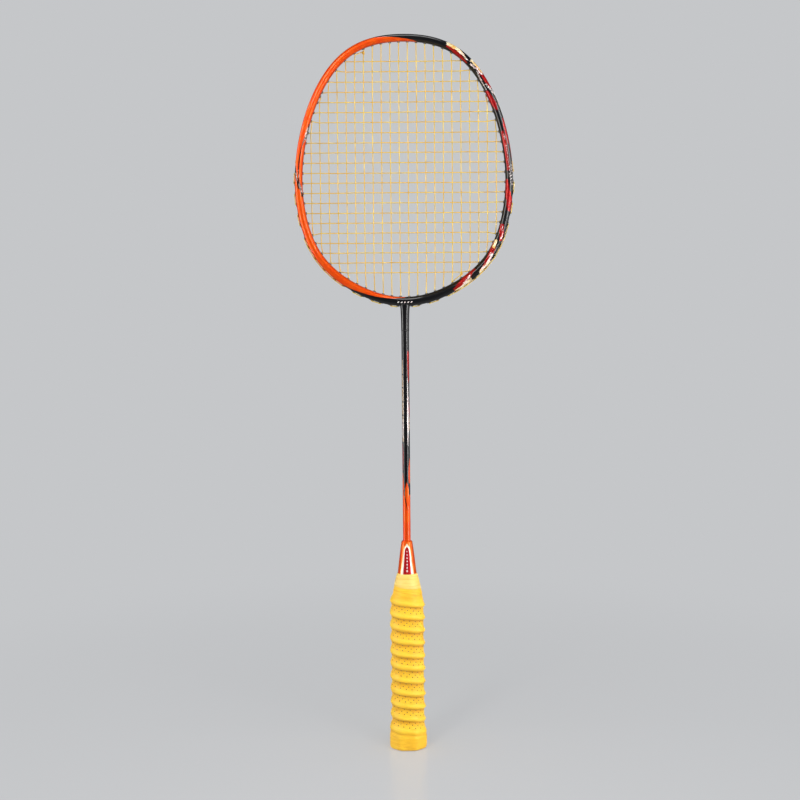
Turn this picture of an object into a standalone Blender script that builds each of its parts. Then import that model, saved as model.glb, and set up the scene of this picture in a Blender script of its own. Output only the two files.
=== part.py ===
"""Badminton racket, built piece by piece as it comes apart on a bench.

Metres, +Z up.  The racket stands on its butt: the origin is the centre of the
butt cap's flat end, +Z runs along the shaft to the head, the string bed lies in
the XZ plane and -Y is the front face.  Dimensions below are in millimetres and
are scaled to metres as each mesh is made.
"""

import math
from collections import namedtuple

import bmesh
import bpy
import numpy as np

for old in list(bpy.data.objects):
    bpy.data.objects.remove(old, do_unlink=True)

MM = 0.001

# ----------------------------------------------------------------- dimensions
# Head.  Its outline is a smooth closed curve through these distances from the
# head's centre, one every 22.5 degrees from the top round to the bottom.
HEAD_CENTRE_Z = 549.5
HEAD_RADII = (125.5, 124.1, 112.7, 103.2, 101.5, 106.7, 116.1, 121.7, 125.5)
HEAD_BOTTOM_Z = HEAD_CENTRE_Z - HEAD_RADII[-1]
HOOP_STATIONS = 64
HOOP_HALF_DEPTH = 10.8 / 2  # across the string bed
HOOP_WALL = 1.0
GROOVE_DEPTH = 1.3  # string groove round the upper half
HOOP_BORE_R = 1.68  # string holes, circumscribed
DRILL_OVERRUN = (1.5, 2.5)  # past a hole's inner and outer mouths

# String pattern
MAINS_HALF = 11  # mains each side of the axis
MAIN_PITCH = 8.12
CROSSES = 22
CROSS_TOP_Z = 650.0
CROSS_PITCH = 9.27
SHARED_HOLE_REACH = 4.2  # a main and a cross closer than this share a hole
CROSSING_CLEARANCE = 1.8  # of a crossing from the hoop's inner edge
THROAT_HOLE_LEAN = (2.3, 0.1)  # x and z offset of the lowest holes' outer mouths

# String
STRING_SIDE = 0.62  # a square with the area of a 0.70 round string
STRING_OUTSIDE = STRING_SIDE / 2 + 0.29  # its centre line, out from a grommet's outer end
STRING_INSIDE = 0.45  # how far it runs straight past a grommet's inner end
WEAVE = 0.75  # how far a cross stands off the plane of the mains
LANE = 0.45  # mains use the front of a shared grommet, crosses the back
SIDE_LANE = -1.30  # the long outside runs keep clear of the loops
MAIN_OVERRUN = 2.0  # how far a main stays straight past its end crossings
HOLD_REACH = 6.0  # a grommet nearer than this to the last crossing needs a hold
HOLD_LENGTH = 0.5
TAIL = 2.6
TAIL_BACK = 0.35  # the tail's end drifts towards the back
LOW_TIE = ("bottom", 5)
HIGH_TIE = ("top", 5)

# Grommets
GROMMET_R = 1.46
GROMMET_BORE_R = 1.14
GROMMET_TIP = 0.8  # how far the barrel shows inside the hoop
STRIP_GAP = 0.22
STRIP_THICK = 0.5
STRIP_HALF = 1.7
STRIP_TAPER = 0.86  # outer face's width as a share of the inner face's
STRIP_REACH = 2.0 / 112.0  # radians past the end barrels
THROAT_STRIP_REACH = 1.0 / 112.0  # the same, beside the throat
BARRELS_PER_STRIP = 4
BORE_OVERRUN = (1.0, 2.0)  # past a barrel's inner and outer ends

# T-joint
STEM_R = 2.35
STEM_FOOT_Z = 396.0
STEM_HOLE_GAP = 0.35
STEM_OVERLAP = 3.0  # of the stem and its drill, from the hoop's lowest point
BAR_GAP = 0.45  # from the hoop's cavity
BAR_DEPTH_SHARE = 0.62  # of the hoop's depth
BAR_STEPS = 4  # stations each side of the axis
BAR_STEP = math.radians(1.75)

# Throat and shaft
SHAFT_R = 3.6
SHAFT_BORE_R = 2.6
SHAFT_TOP_Z = 423.2
SHAFT_FOOT_Z = 105.0
SHAFT_FIT = 0.12  # round the shaft, in the cone and in the wood
THROAT_FOOT_Z = 401.0
THROAT_SIDES = 16
THROAT_BORE_R = SHAFT_R + 0.08
SADDLE_GAP = 0.38
SADDLE_RADIUS = 128.0  # of the hoop's curve over the throat

# Cone cap and wooden handle
TURNED_SIDES = 16
CONE_TOP_Z = 201.0
CONE_FOOT_Z = 146.0
SPIGOT_R = 7.6
SPIGOT_TOP_Z = 163.0
OCTAGON_CUT = 0.30  # corner cut as a share of the section's smaller width
CORE_HALF = (11.8, 10.2)
CORE_TOP_Z = 145.0
CORE_FOOT_Z = 4.0
LIGHTENING_R = 5.8  # the foot of the wood is bored out to save weight
LIGHTENING_TOP_Z = 92.0

# Butt cap, its nails and its badge
CAP_TOP_Z = 21.0
CAP_HALF_TOP = (13.7, 12.1)
CAP_HALF_FLARE = (15.9, 14.3)
CAP_HALF_FOOT = (15.2, 13.6)
CAP_FIT = 0.3
CAP_FLOOR_GAP = 0.4
NAIL_Z = 13.0
NAIL_TIP_X = 5.7
NAIL_HOLE_R = 0.85
NAIL_HEAD_HOLE_R = 1.7
NAIL_HOLE_DEPTH = 7.5  # into the wood
NAIL_HOLE_OVERRUN = 2.0
BADGE_HALF = (8.5, 7.6)
BADGE_FIT = 0.15
BADGE_SIDES = 20

# Grips
TURN_GAP = 0.4
MIN_STRIP_WIDTH = 1.6  # a winding starts and ends at this width
BASE_GRIP_THICK = 1.5
BASE_GRIP_GAP = 0.3
BASE_GRIP_PITCH = 21.0
BASE_GRIP_FOOT_Z = CAP_TOP_Z + 0.4
BASE_GRIP_TOP_Z = 142.5
BASE_GRIP_START = 7  # octagon corner the winding is counted from
OVERGRIP_THICK = 1.45
OVERGRIP_GAP = 0.32
OVERGRIP_PITCH = 12.35
OVERGRIP_FOOT_Z = 2.2
OVERGRIP_TOP_Z = 156.6
OVERGRIP_START = 4
RIDGE = 1.1
RIDGE_FOOT_HALF = 2.4
RIDGE_TOP_HALF = 0.7
RIDGE_FULL_WIDTH = 5.4  # the ridge narrows where the strip is narrower than this
RIDGE_MIN_WIDTH = 4.0  # the ridge has no height where the strip is narrower than this
TAPE_TOP_Z = 170.0


# ------------------------------------------------------------------ materials
def material(name, colour, roughness, metallic=0.0):
    mat = bpy.data.materials.new(name)
    mat.use_nodes = True
    inputs = mat.node_tree.nodes["Principled BSDF"].inputs
    inputs["Base Color"].default_value = (*colour, 1.0)
    inputs["Roughness"].default_value = roughness
    inputs["Metallic"].default_value = metallic
    return mat


HOOP_LACQUER = material(
    "frame_lacquer", colour=(0.80, 0.16, 0.02), roughness=0.22, metallic=0.1
)
BLACK_LACQUER = material("black_lacquer", colour=(0.015, 0.015, 0.018), roughness=0.2)
SHAFT_LACQUER = material("shaft_lacquer", colour=(0.02, 0.02, 0.024), roughness=0.22)
STRING_NYLON = material("string_nylon", colour=(0.86, 0.66, 0.16), roughness=0.35)
GROMMET_NYLON = material("grommet_nylon", colour=(0.05, 0.05, 0.055), roughness=0.45)
CONE_PLASTIC = material("cone_plastic", colour=(0.78, 0.17, 0.03), roughness=0.25)
WOOD = material("handle_wood", colour=(0.62, 0.47, 0.29), roughness=0.6)
CAP_PLASTIC = material("cap_plastic", colour=(0.03, 0.03, 0.03), roughness=0.5)
BASE_GRIP_PU = material("base_grip_pu", colour=(0.06, 0.06, 0.065), roughness=0.7)
OVERGRIP_PU = material("overgrip_pu", colour=(0.90, 0.55, 0.08), roughness=0.6)
TAPE = material("finishing_tape", colour=(0.92, 0.66, 0.16), roughness=0.4)
STEEL = material("fixings_steel", colour=(0.6, 0.6, 0.6), roughness=0.35, metallic=1.0)
ALLOY = material("t_joint_alloy", colour=(0.55, 0.55, 0.57), roughness=0.4, metallic=1.0)
BADGE = material("butt_badge", colour=(0.75, 0.75, 0.72), roughness=0.3)


# ---------------------------------------------------------------- mesh makers
# A mesh is passed about as a pair: vertices in millimetres, and faces.
def add_piece(name, mesh, mat=None, sharp_angle=None):
    verts, faces = mesh
    data = bpy.data.meshes.new(name)
    data.from_pydata([tuple(float(c) * MM for c in v) for v in verts], [], faces)
    data.validate()
    bm = bmesh.new()
    bm.from_mesh(data)
    bmesh.ops.recalc_face_normals(bm, faces=bm.faces)
    bm.to_mesh(data)
    bm.free()
    if sharp_angle is not None:
        data.shade_smooth()
        data.set_sharp_from_angle(angle=math.radians(sharp_angle))
    if mat:
        data.materials.append(mat)
    piece = bpy.data.objects.new(name, data)
    bpy.context.scene.collection.objects.link(piece)
    return piece


def rings_mesh(rings, closed=False):
    """Faces joining rings of equal length, capped at both ends unless closed."""
    size = len(rings[0])
    count = len(rings)
    verts = [point for ring in rings for point in ring]
    faces = []
    for a in range(count if closed else count - 1):
        b = (a + 1) % count
        for i in range(size):
            j = (i + 1) % size
            faces.append((a * size + i, a * size + j, b * size + j, b * size + i))
    if not closed:
        faces.append(tuple(range(size)))
        faces.append(tuple((count - 1) * size + i for i in range(size)))
    return verts, faces


def sweep(path, half):
    """A square tube along a path, always with one side facing front, mitred at each bend."""
    path = np.array(path, float)
    steps = np.diff(path, axis=0)
    steps /= np.linalg.norm(steps, axis=1, keepdims=True)
    rings = []
    for n, point in enumerate(path):
        before = steps[max(n - 1, 0)]
        after = steps[min(n, len(steps) - 1)]
        along = before + after
        along /= np.linalg.norm(along)
        depth = np.array([0.0, 1.0, 0.0]) - along * along[1]
        depth /= np.linalg.norm(depth)
        across = np.cross(along, depth)
        # cosine of the bend as seen from the front
        bend = np.array([before[0], before[2]]) @ np.array([after[0], after[2]])
        bend /= math.hypot(before[0], before[2]) * math.hypot(after[0], after[2])
        widen = 1 / max(math.sqrt(max((1 + bend) / 2, 0.0)), 0.5)
        rings.append(
            [
                point + depth * half * f + across * half * c * widen
                for f, c in ((1, 1), (1, -1), (-1, -1), (-1, 1))
            ]
        )
    return rings_mesh(rings)


def cylinder(start, end, radius, sides=6, spin=0.5):
    """A prism between two points on an axis square to Y; spin is a share of one side."""
    start = np.array(start, float)
    end = np.array(end, float)
    axis = (end - start) / np.linalg.norm(end - start)
    u = np.array([0.0, 1.0, 0.0])
    v = np.cross(axis, u)
    turns = [2 * math.pi * (q + spin) / sides for q in range(sides)]
    return rings_mesh(
        [
            [centre + radius * (u * math.cos(t) + v * math.sin(t)) for t in turns]
            for centre in (start, end)
        ]
    )


def merge(parts):
    verts, faces = [], []
    for part_verts, part_faces in parts:
        base = len(verts)
        verts += list(part_verts)
        faces += [tuple(i + base for i in face) for face in part_faces]
    return verts, faces


def boolean(piece, operation, helper_name, parts):
    """Joins or cuts a piece with a hidden helper made of parts."""
    helper = add_piece(helper_name, merge(parts))
    helper.hide_render = True
    helper.display_type = "WIRE"
    modifier = piece.modifiers.new(operation.lower(), "BOOLEAN")
    modifier.operation = operation
    modifier.solver = "EXACT"
    modifier.object = helper


def ellipse(half_x, half_y, sides):
    turns = [2 * math.pi * q / sides for q in range(sides)]
    return [(half_x * math.cos(t), half_y * math.sin(t)) for t in turns]


def octagon(half):
    """Corners of a handle's eight-sided section, anticlockwise from +X seen from above."""
    hx, hy = half
    cut = OCTAGON_CUT * 2 * min(hx, hy)
    return [
        (hx, -hy + cut),
        (hx, hy - cut),
        (hx - cut, hy),
        (-hx + cut, hy),
        (-hx, hy - cut),
        (-hx, -hy + cut),
        (-hx + cut, -hy),
        (hx - cut, -hy),
    ]


def grown(half, by):
    return half[0] + by, half[1] + by


def level(section, z):
    return [(x, y, z) for x, y in section]


def turned(name, profile, mat):
    """A piece turned about Z: profile is a closed loop of (radius, z)."""
    rings = [
        [(r * cos, r * sin, z) for r, z in profile]
        for cos, sin in ellipse(1.0, 1.0, TURNED_SIDES)
    ]
    add_piece(name, rings_mesh(rings, closed=True), mat, 40)


# --------------------------------------------------------------- head outline
# Periodic cubic spline through the radii: the second derivatives at its knots.
KNOTS = np.array(HEAD_RADII + HEAD_RADII[-2:0:-1])
KNOT_STEP = 2 * math.pi / len(KNOTS)
IDENTITY = np.eye(len(KNOTS))
KNOT_BENDS = np.linalg.solve(
    4 * IDENTITY + np.roll(IDENTITY, 1, axis=1) + np.roll(IDENTITY, -1, axis=1),
    6 * (np.roll(KNOTS, -1) - 2 * KNOTS + np.roll(KNOTS, 1)) / KNOT_STEP**2,
)


def outline(phi):
    """Point (x, z) of the head's outer edge; phi runs clockwise from the top, seen from -Y."""
    t = (np.asarray(phi, float) % (2 * math.pi)) / KNOT_STEP
    i = np.floor(t).astype(int) % len(KNOTS)
    u = t - np.floor(t)
    j = (i + 1) % len(KNOTS)
    bend = ((1 - u) ** 3 - (1 - u)) * KNOT_BENDS[i] + (u**3 - u) * KNOT_BENDS[j]
    r = (1 - u) * KNOTS[i] + u * KNOTS[j] + KNOT_STEP**2 / 6 * bend
    return np.stack([r * np.sin(phi), HEAD_CENTRE_Z + r * np.cos(phi)], -1)


def outward(phi):
    """Unit normal (x, z) of the outline."""
    e = 1e-4
    along = outline(np.asarray(phi) + e) - outline(np.asarray(phi) - e)
    along = along / np.linalg.norm(along, axis=-1, keepdims=True)
    return np.stack([-along[..., 1], along[..., 0]], -1)


def hoop_width(phi):
    """In-plane width: slimmer at the top, stout at the throat."""
    c = np.cos(phi)
    return 7.3 - 0.3 * np.clip(c, 0, 1) ** 4 + 1.3 * np.clip(-c, 0, 1) ** 8


def groove(phi):
    """Depth of the string groove: full to 78 degrees from the top, gone by 98."""
    degrees = np.degrees(np.arccos(np.cos(phi)))
    t = np.clip((98 - degrees) / 20, 0, 1)
    return GROOVE_DEPTH * t * t * (3 - 2 * t)


def at(phi, out, y=0.0):
    """Point at a distance out from the head's outer edge (negative is inwards)."""
    x, z = outline(phi) + outward(phi) * out
    return np.array([x, y, z])


THROAT_HALF_WIDTH = float(hoop_width(math.pi)) / 2

# --------------------------------------------------------------- string holes
# The right half of the hoop, sampled finely from the top to the bottom
PHI = np.linspace(0, math.pi, 60001)
INNER_EDGE = outline(PHI) - outward(PHI) * hoop_width(PHI)[:, None]
MIDLINE = outline(PHI) - outward(PHI) * hoop_width(PHI)[:, None] / 2
ARC = np.concatenate([[0], np.cumsum(np.linalg.norm(np.diff(MIDLINE, axis=0), axis=1))])
WIDEST = int(np.argmax(INNER_EDGE[:, 0]))

MAIN_X = [MAIN_PITCH * (i + 0.5) for i in range(MAINS_HALF)]
CROSS_Z = [CROSS_TOP_Z - CROSS_PITCH * j for j in range(CROSSES)]

Hole = namedtuple("Hole", "angle ends arc")


def nearest_angle(low, high, axis, value):
    """Angle where the inner edge, between two samples, is nearest a given x or z."""
    return float(PHI[low + int(np.argmin(abs(INNER_EDGE[low:high, axis] - value)))])


def string_ends():
    """Angle of each string end on the right half, keyed by (kind, string number)."""
    ends = {}
    for i, x in enumerate(MAIN_X):
        ends["top", i] = nearest_angle(0, WIDEST, 0, x)
        ends["bottom", i] = nearest_angle(WIDEST, len(PHI), 0, x)
    for j, z in enumerate(CROSS_Z):
        ends["cross", j] = nearest_angle(0, len(PHI), 1, z)
    return ends


def place_holes(ends):
    """Holes from the top down; a main and a cross that land close together share one."""
    arcs = {key: float(np.interp(ends[key], PHI, ARC)) for key in ends}
    holes = []
    for key in sorted(ends, key=ends.get):
        arc = arcs[key]
        last = holes[-1] if holes else None
        if last and arc - last.arc < SHARED_HOLE_REACH and last.ends[0][0] != key[0]:
            members = last.ends + [key]
            arc = sum(arcs[k] for k in members) / len(members)
            holes[-1] = Hole(float(np.interp(arc, ARC, PHI)), members, arc)
        else:
            holes.append(Hole(ends[key], [key], arc))
    return holes


HOLES = place_holes(string_ends())
HOLE_OF = {key: n for n, hole in enumerate(HOLES) for key in hole.ends}
SHARED = {frozenset(hole.ends) for hole in HOLES if len(hole.ends) == 2}


def leans(n):
    """The two holes beside the throat lean outwards to clear it."""
    return n == len(HOLES) - 1


def hole_line(n, side):
    """(inner end, outer end, direction outwards) of the grommet in hole n.

    Side is +1 for the right half and -1 for the left.
    """
    phi = HOLES[n].angle
    inner = at(phi, -float(hoop_width(phi)))
    outer = at(phi, -float(groove(phi)))
    if leans(n):
        outer = outer + np.array([THROAT_HOLE_LEAN[0], 0, THROAT_HOLE_LEAN[1]])
    axis = (outer - inner) / np.linalg.norm(outer - inner)
    inner = inner - axis * GROMMET_TIP
    outer = outer + axis * (STRIP_GAP + STRIP_THICK)
    flip = np.array([side, 1, 1])
    return inner * flip, outer * flip, axis * flip


def hole_drills(numbers, radius):
    """Drills through the numbered holes, on both sides."""
    drills = []
    for n in numbers:
        for side in (1, -1):
            inner, outer, axis = hole_line(n, side)
            start = inner - axis * DRILL_OVERRUN[0]
            end = outer + axis * DRILL_OVERRUN[1]
            drills.append(cylinder(start, end, radius))
    return drills


# ----------------------------------------------------------------- head frame
def hoop_section(phi, back_half):
    """Ring across the hoop, from a back half of (distance out from mid-width,
    share of the half depth) mirrored to the front."""
    half_width = float(hoop_width(phi)) / 2
    section = back_half + [(n, -y) for n, y in reversed(back_half)]
    return [at(phi, n - half_width, y * HOOP_HALF_DEPTH) for n, y in section]


def build_hoop():
    """A hollow moulded tube, drilled for the strings and the T-joint's stem."""
    outer_rings, cavity_rings = [], []
    for k in range(HOOP_STATIONS):
        phi = 2 * math.pi * (k + 0.5) / HOOP_STATIONS
        w = float(hoop_width(phi)) / 2
        g = float(groove(phi))
        outer_half = [
            (-w, 0.22),
            (-0.84 * w, 0.62),
            (-0.32 * w, 0.96),
            (0.32 * w, 0.96),
            (0.84 * w, 0.74),
            (w, 0.52),
            (w - g, 0.36),
        ]
        cavity_half = [
            (-w + HOOP_WALL, 0.14),
            (-0.32 * w, 0.96 - HOOP_WALL / HOOP_HALF_DEPTH),
            (0.32 * w, 0.96 - HOOP_WALL / HOOP_HALF_DEPTH),
            (w - g - HOOP_WALL, 0.30),
        ]
        outer_rings.append(hoop_section(phi, outer_half))
        cavity_rings.append(hoop_section(phi, cavity_half))
    outer = rings_mesh(outer_rings, closed=True)
    cavity = rings_mesh(cavity_rings, closed=True)
    hoop = add_piece("frame_hoop", merge([outer, cavity]), HOOP_LACQUER, 50)

    # turn the cavity's faces to look into it
    bm = bmesh.new()
    bm.from_mesh(hoop.data)
    bm.faces.ensure_lookup_table()
    bmesh.ops.reverse_faces(bm, faces=list(bm.faces)[len(outer[1]):])
    bm.to_mesh(hoop.data)
    bm.free()

    drills = hole_drills(range(len(HOLES)), HOOP_BORE_R)
    stem_top = (0, 0, HEAD_BOTTOM_Z + STEM_OVERLAP)
    stem_foot = (0, 0, HEAD_BOTTOM_Z - STEM_OVERLAP)
    drills.append(cylinder(stem_top, stem_foot, STEM_R + STEM_HOLE_GAP, 10))
    boolean(hoop, "DIFFERENCE", "string_hole_drills", drills)


def build_t_joint():
    """A bar inside the hoop with a stem that enters the shaft."""
    half = THROAT_HALF_WIDTH - HOOP_WALL - BAR_GAP
    back_half = [
        (-half, 0.36 * BAR_DEPTH_SHARE),
        (-0.2 * half, BAR_DEPTH_SHARE),
        (0.2 * half, BAR_DEPTH_SHARE),
        (half, 0.5 * BAR_DEPTH_SHARE),
    ]
    rings = [
        hoop_section(math.pi + k * BAR_STEP, back_half)
        for k in range(-BAR_STEPS, BAR_STEPS + 1)
    ]
    joint = add_piece("t_joint", rings_mesh(rings), ALLOY, 40)
    stem_top = (0, 0, HEAD_BOTTOM_Z + STEM_OVERLAP)
    stem = cylinder(stem_top, (0, 0, STEM_FOOT_Z), STEM_R, 12)
    boolean(joint, "UNION", "t_joint_stem_shape", [stem])
    lowest = (len(HOLES) - 1, len(HOLES) - 2)
    drills = hole_drills(lowest, HOOP_BORE_R + 0.02)
    boolean(joint, "DIFFERENCE", "t_joint_hole_drills", drills)


# ----------------------------------------------------------- throat and shaft
# the hoop's underside: share of its half depth, rise as a share of its half width
SADDLE_DEPTHS = (0, 0.52, 0.74, 0.96, 1.2)
SADDLE_RISES = (0, 0, 0.16, 0.68, 1.2)

# share of the height from foot to saddle, half size in x, half size in y:
# up the outside and down the bore
THROAT_RINGS = (
    (0.0, 3.95, 3.95),
    (0.35, 4.0, 4.1),
    (0.72, 4.15, 4.6),
    (1.0, 4.4, 5.0),
    (1.0, THROAT_BORE_R, THROAT_BORE_R),
    (0.0, THROAT_BORE_R, THROAT_BORE_R),
)


def saddle_z(x, y):
    """Height of the hoop's underside above (x, y), less a small gap."""
    edge = HEAD_BOTTOM_Z + x * x / (2 * SADDLE_RADIUS)
    rise = np.interp(abs(y) / HOOP_HALF_DEPTH, SADDLE_DEPTHS, SADDLE_RISES)
    return edge + float(rise) * THROAT_HALF_WIDTH - SADDLE_GAP


def build_throat():
    """The moulded collar that saddles the hoop and sleeves the shaft."""
    rings = [
        [
            (x, y, THROAT_FOOT_Z + (saddle_z(x, y) - THROAT_FOOT_Z) * share)
            for x, y in ellipse(half_x, half_y, THROAT_SIDES)
        ]
        for share, half_x, half_y in THROAT_RINGS
    ]
    add_piece("throat", rings_mesh(rings, closed=True), BLACK_LACQUER, 50)


def build_shaft():
    """A carbon tube, glued over the stem and into the handle."""
    profile = [
        (SHAFT_R, SHAFT_FOOT_Z),
        (SHAFT_R, SHAFT_TOP_Z),
        (SHAFT_BORE_R, SHAFT_TOP_Z),
        (SHAFT_BORE_R, SHAFT_FOOT_Z),
    ]
    turned("shaft", profile, SHAFT_LACQUER)


# --------------------------------------------------------------------- handle
def build_cone_cap():
    """A thin plastic cone over the end of the wood."""
    profile = [
        (9.6, CONE_FOOT_Z),
        (10.7, CONE_FOOT_Z),
        (10.3, 157.0),
        (8.9, 170.0),
        (7.6, 182.0),
        (5.4, 198.5),
        (4.95, CONE_TOP_Z),
        (SHAFT_R + SHAFT_FIT, CONE_TOP_Z),
        (SHAFT_R + SHAFT_FIT, 188.0),
        (6.3, 178.0),
        (SPIGOT_R + 0.15, 164.5),
        (SPIGOT_R + 0.35, CONE_FOOT_Z + 1.0),
    ]
    turned("cone_cap", profile, CONE_PLASTIC)


def build_core():
    """The wood: an octagon with a turned spigot, bored for the shaft above, hollowed below."""
    section = octagon(CORE_HALF)
    rings = [level(section, z) for z in (CORE_FOOT_Z, CORE_TOP_Z)]
    core = add_piece("handle_core", rings_mesh(rings), WOOD, 30)
    spigot = cylinder(
        (0, 0, CORE_TOP_Z - 5), (0, 0, SPIGOT_TOP_Z), SPIGOT_R, TURNED_SIDES, spin=0.0
    )
    boolean(core, "UNION", "spigot_shape", [spigot])
    # (foot z, top z, radius) of the bores along the axis
    bores = (
        (SHAFT_FOOT_Z - 0.4, SPIGOT_TOP_Z + 2, SHAFT_R + SHAFT_FIT),
        (0.0, LIGHTENING_TOP_Z, LIGHTENING_R),
    )
    drills = [
        cylinder((0, 0, foot), (0, 0, top), radius, TURNED_SIDES, spin=0.0)
        for foot, top, radius in bores
    ]
    length = NAIL_HOLE_DEPTH + NAIL_HOLE_OVERRUN
    for x in (-CORE_HALF[0] - NAIL_HOLE_OVERRUN, CORE_HALF[0] - NAIL_HOLE_DEPTH):
        drills.append(cylinder((x, 0, NAIL_Z), (x + length, 0, NAIL_Z), NAIL_HOLE_R))
    boolean(core, "DIFFERENCE", "shaft_bore_drill", drills)


# (z, half sizes) up the outside of the butt cap
CAP_OUTSIDE = (
    (0.0, CAP_HALF_FOOT),
    (1.2, CAP_HALF_FLARE),
    (12.0, CAP_HALF_FLARE),
    (CAP_TOP_Z, CAP_HALF_TOP),
)
# (inner x, outer x, radius, sides): a hole for the nail, then one for its head
CAP_NAIL_DRILLS = (
    (10.0, 18.0, NAIL_HOLE_R, 6),
    (14.0, 19.0, NAIL_HEAD_HOLE_R, 8),
)


def build_butt_cap():
    """A flared cup over the foot of the wood, with a shallow recess in its flat end."""
    rings = [level(octagon(half), z) for z, half in CAP_OUTSIDE]
    inside = octagon(grown(CORE_HALF, CAP_FIT))
    rings += [level(inside, z) for z in (CAP_TOP_Z, CORE_FOOT_Z - CAP_FLOOR_GAP)]
    cap = add_piece("butt_cap", rings_mesh(rings), CAP_PLASTIC, 35)
    for k, (inner_x, outer_x, radius, sides) in enumerate(CAP_NAIL_DRILLS):
        pair = [
            cylinder((s * inner_x, 0, NAIL_Z), (s * outer_x, 0, NAIL_Z), radius, sides)
            for s in (1, -1)
        ]
        boolean(cap, "DIFFERENCE", "cap_nail_drill_%d" % (k + 1), pair)
    section = ellipse(*grown(BADGE_HALF, BADGE_FIT), BADGE_SIDES)
    recess = rings_mesh([level(section, z) for z in (-1.0, 1.0)])
    boolean(cap, "DIFFERENCE", "badge_recess_shape", [recess])


def build_badge():
    """An oval disc in the cap's recess, its lower edge chamfered."""
    rings = []
    for z, scale in ((0.15, 0.96), (0.35, 1.0), (0.9, 1.0)):
        section = ellipse(BADGE_HALF[0] * scale, BADGE_HALF[1] * scale, BADGE_SIDES)
        rings.append(level(section, z))
    add_piece("butt_badge", rings_mesh(rings), BADGE, 40)


# (radius, distance from the tip) along a nail
NAIL_PROFILE = ((0.55, 0.0), (0.55, 8.4), (1.35, 8.4), (1.35, 8.9))
NAIL_SIDES = 8


def build_nail(name, side):
    turns = [2 * math.pi * (q + 0.5) / NAIL_SIDES for q in range(NAIL_SIDES)]
    rings = [
        [
            (side * (NAIL_TIP_X + along), r * math.cos(t), NAIL_Z + r * math.sin(t))
            for t in turns
        ]
        for r, along in NAIL_PROFILE
    ]
    add_piece(name, rings_mesh(rings), STEEL, 40)


# ---------------------------------------------------------------------- grips
BASE_GRIP_OUTSIDE = grown(CORE_HALF, BASE_GRIP_GAP + BASE_GRIP_THICK)

# What the overgrip is wound on, the cap, base grip, then cone's skirt:
# z, half size in x, half size in y
UNDER_OVERGRIP = (
    (0.0, *CAP_HALF_FLARE),
    (12.3, *CAP_HALF_FLARE),
    (CAP_TOP_Z + 0.3, *CAP_HALF_TOP),
    (26.0, *BASE_GRIP_OUTSIDE),
    (143.5, *BASE_GRIP_OUTSIDE),
    (157.0, 11.6, 11.0),
)


def wound_strip(name, mat, pitch, low_z, high_z, under, gap, thick, start, ridge=None):
    """A strip wound upwards round the octagon, butted turn to turn.

    It goes clockwise seen from above, counted from corner start, over the half
    sizes under(z).  ridge(z) is the height of a ridge along its middle.
    """
    width = pitch - TURN_GAP
    turns = (high_z - low_z) / pitch + 1
    rings = []
    for corner in range(math.ceil(8 * turns)):
        upper_edge = low_z + pitch * (corner / 8)
        foot = max(upper_edge - width, low_z)
        top = min(upper_edge, high_z)
        span = top - foot
        if span < MIN_STRIP_WIDTH:
            continue
        outside = [(foot, thick), (top, thick)]
        if ridge:
            middle = (foot + top) / 2
            full = (span - RIDGE_MIN_WIDTH) / (width - RIDGE_MIN_WIDTH)
            crest = thick + ridge(middle) * min(1.0, max(0.0, full))
            narrow = min(1.0, span / RIDGE_FULL_WIDTH)
            outside[1:1] = [
                (middle - RIDGE_FOOT_HALF * narrow, thick),
                (middle - RIDGE_TOP_HALF * narrow, crest),
                (middle + RIDGE_TOP_HALF * narrow, crest),
                (middle + RIDGE_FOOT_HALF * narrow, thick),
            ]
        third = span / 3
        lining = [(z, 0.0) for z in (top, top - third, foot + third, foot)]
        ring = []
        for z, out in outside + lining:
            x, y = octagon(grown(under(z), gap + out))[(start - corner) % 8]
            ring.append((x, y, z))
        rings.append(ring)
    add_piece(name, rings_mesh(rings), mat, 30)


def build_base_grip():
    wound_strip(
        "base_grip",
        BASE_GRIP_PU,
        pitch=BASE_GRIP_PITCH,
        low_z=BASE_GRIP_FOOT_Z,
        high_z=BASE_GRIP_TOP_Z,
        under=lambda z: CORE_HALF,
        gap=BASE_GRIP_GAP,
        thick=BASE_GRIP_THICK,
        start=BASE_GRIP_START,
    )


def under_overgrip(z):
    levels, half_x, half_y = zip(*UNDER_OVERGRIP)
    return float(np.interp(z, levels, half_x)), float(np.interp(z, levels, half_y))


def ridge_height(z):
    """The ridge fades out at both ends of the handle."""
    return float(np.interp(z, [13.0, 22.0, 138.0, 150.0], [0.0, RIDGE, RIDGE, 0.0]))


def build_overgrip():
    wound_strip(
        "overgrip",
        OVERGRIP_PU,
        pitch=OVERGRIP_PITCH,
        low_z=OVERGRIP_FOOT_Z,
        high_z=OVERGRIP_TOP_Z,
        under=under_overgrip,
        gap=OVERGRIP_GAP,
        thick=OVERGRIP_THICK,
        start=OVERGRIP_START,
        ridge=ridge_height,
    )


def build_finishing_tape():
    """Tape round the cone's skirt, above the overgrip."""
    profile = [
        (10.75, 157.0),
        (12.4, 157.0),
        (12.0, 163.0),
        (10.7, 169.4),
        (10.3, TAPE_TOP_Z),
        (9.3, TAPE_TOP_Z),
    ]
    turned("finishing_tape", profile, TAPE)


# ------------------------------------------------------------------- grommets
def strip_stations(group):
    """Angles along a strip: at and between its barrels, and a little past the ends."""
    angles = []
    for n in group:
        angle = HOLES[n].angle
        if leans(n):
            radius = np.linalg.norm(outline(angle) - np.array([0, HEAD_CENTRE_Z]))
            angle -= THROAT_HOLE_LEAN[0] / float(radius)
        angles.append(angle)
    stations = [angles[0] - STRIP_REACH]
    for a, b in zip(angles[:-1], angles[1:]):
        stations += [a, (a + b) / 2]
    if group[-1] == len(HOLES) - 1:
        return stations + [angles[-1] + THROAT_STRIP_REACH]
    return stations + [angles[-1], angles[-1] + STRIP_REACH]


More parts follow.
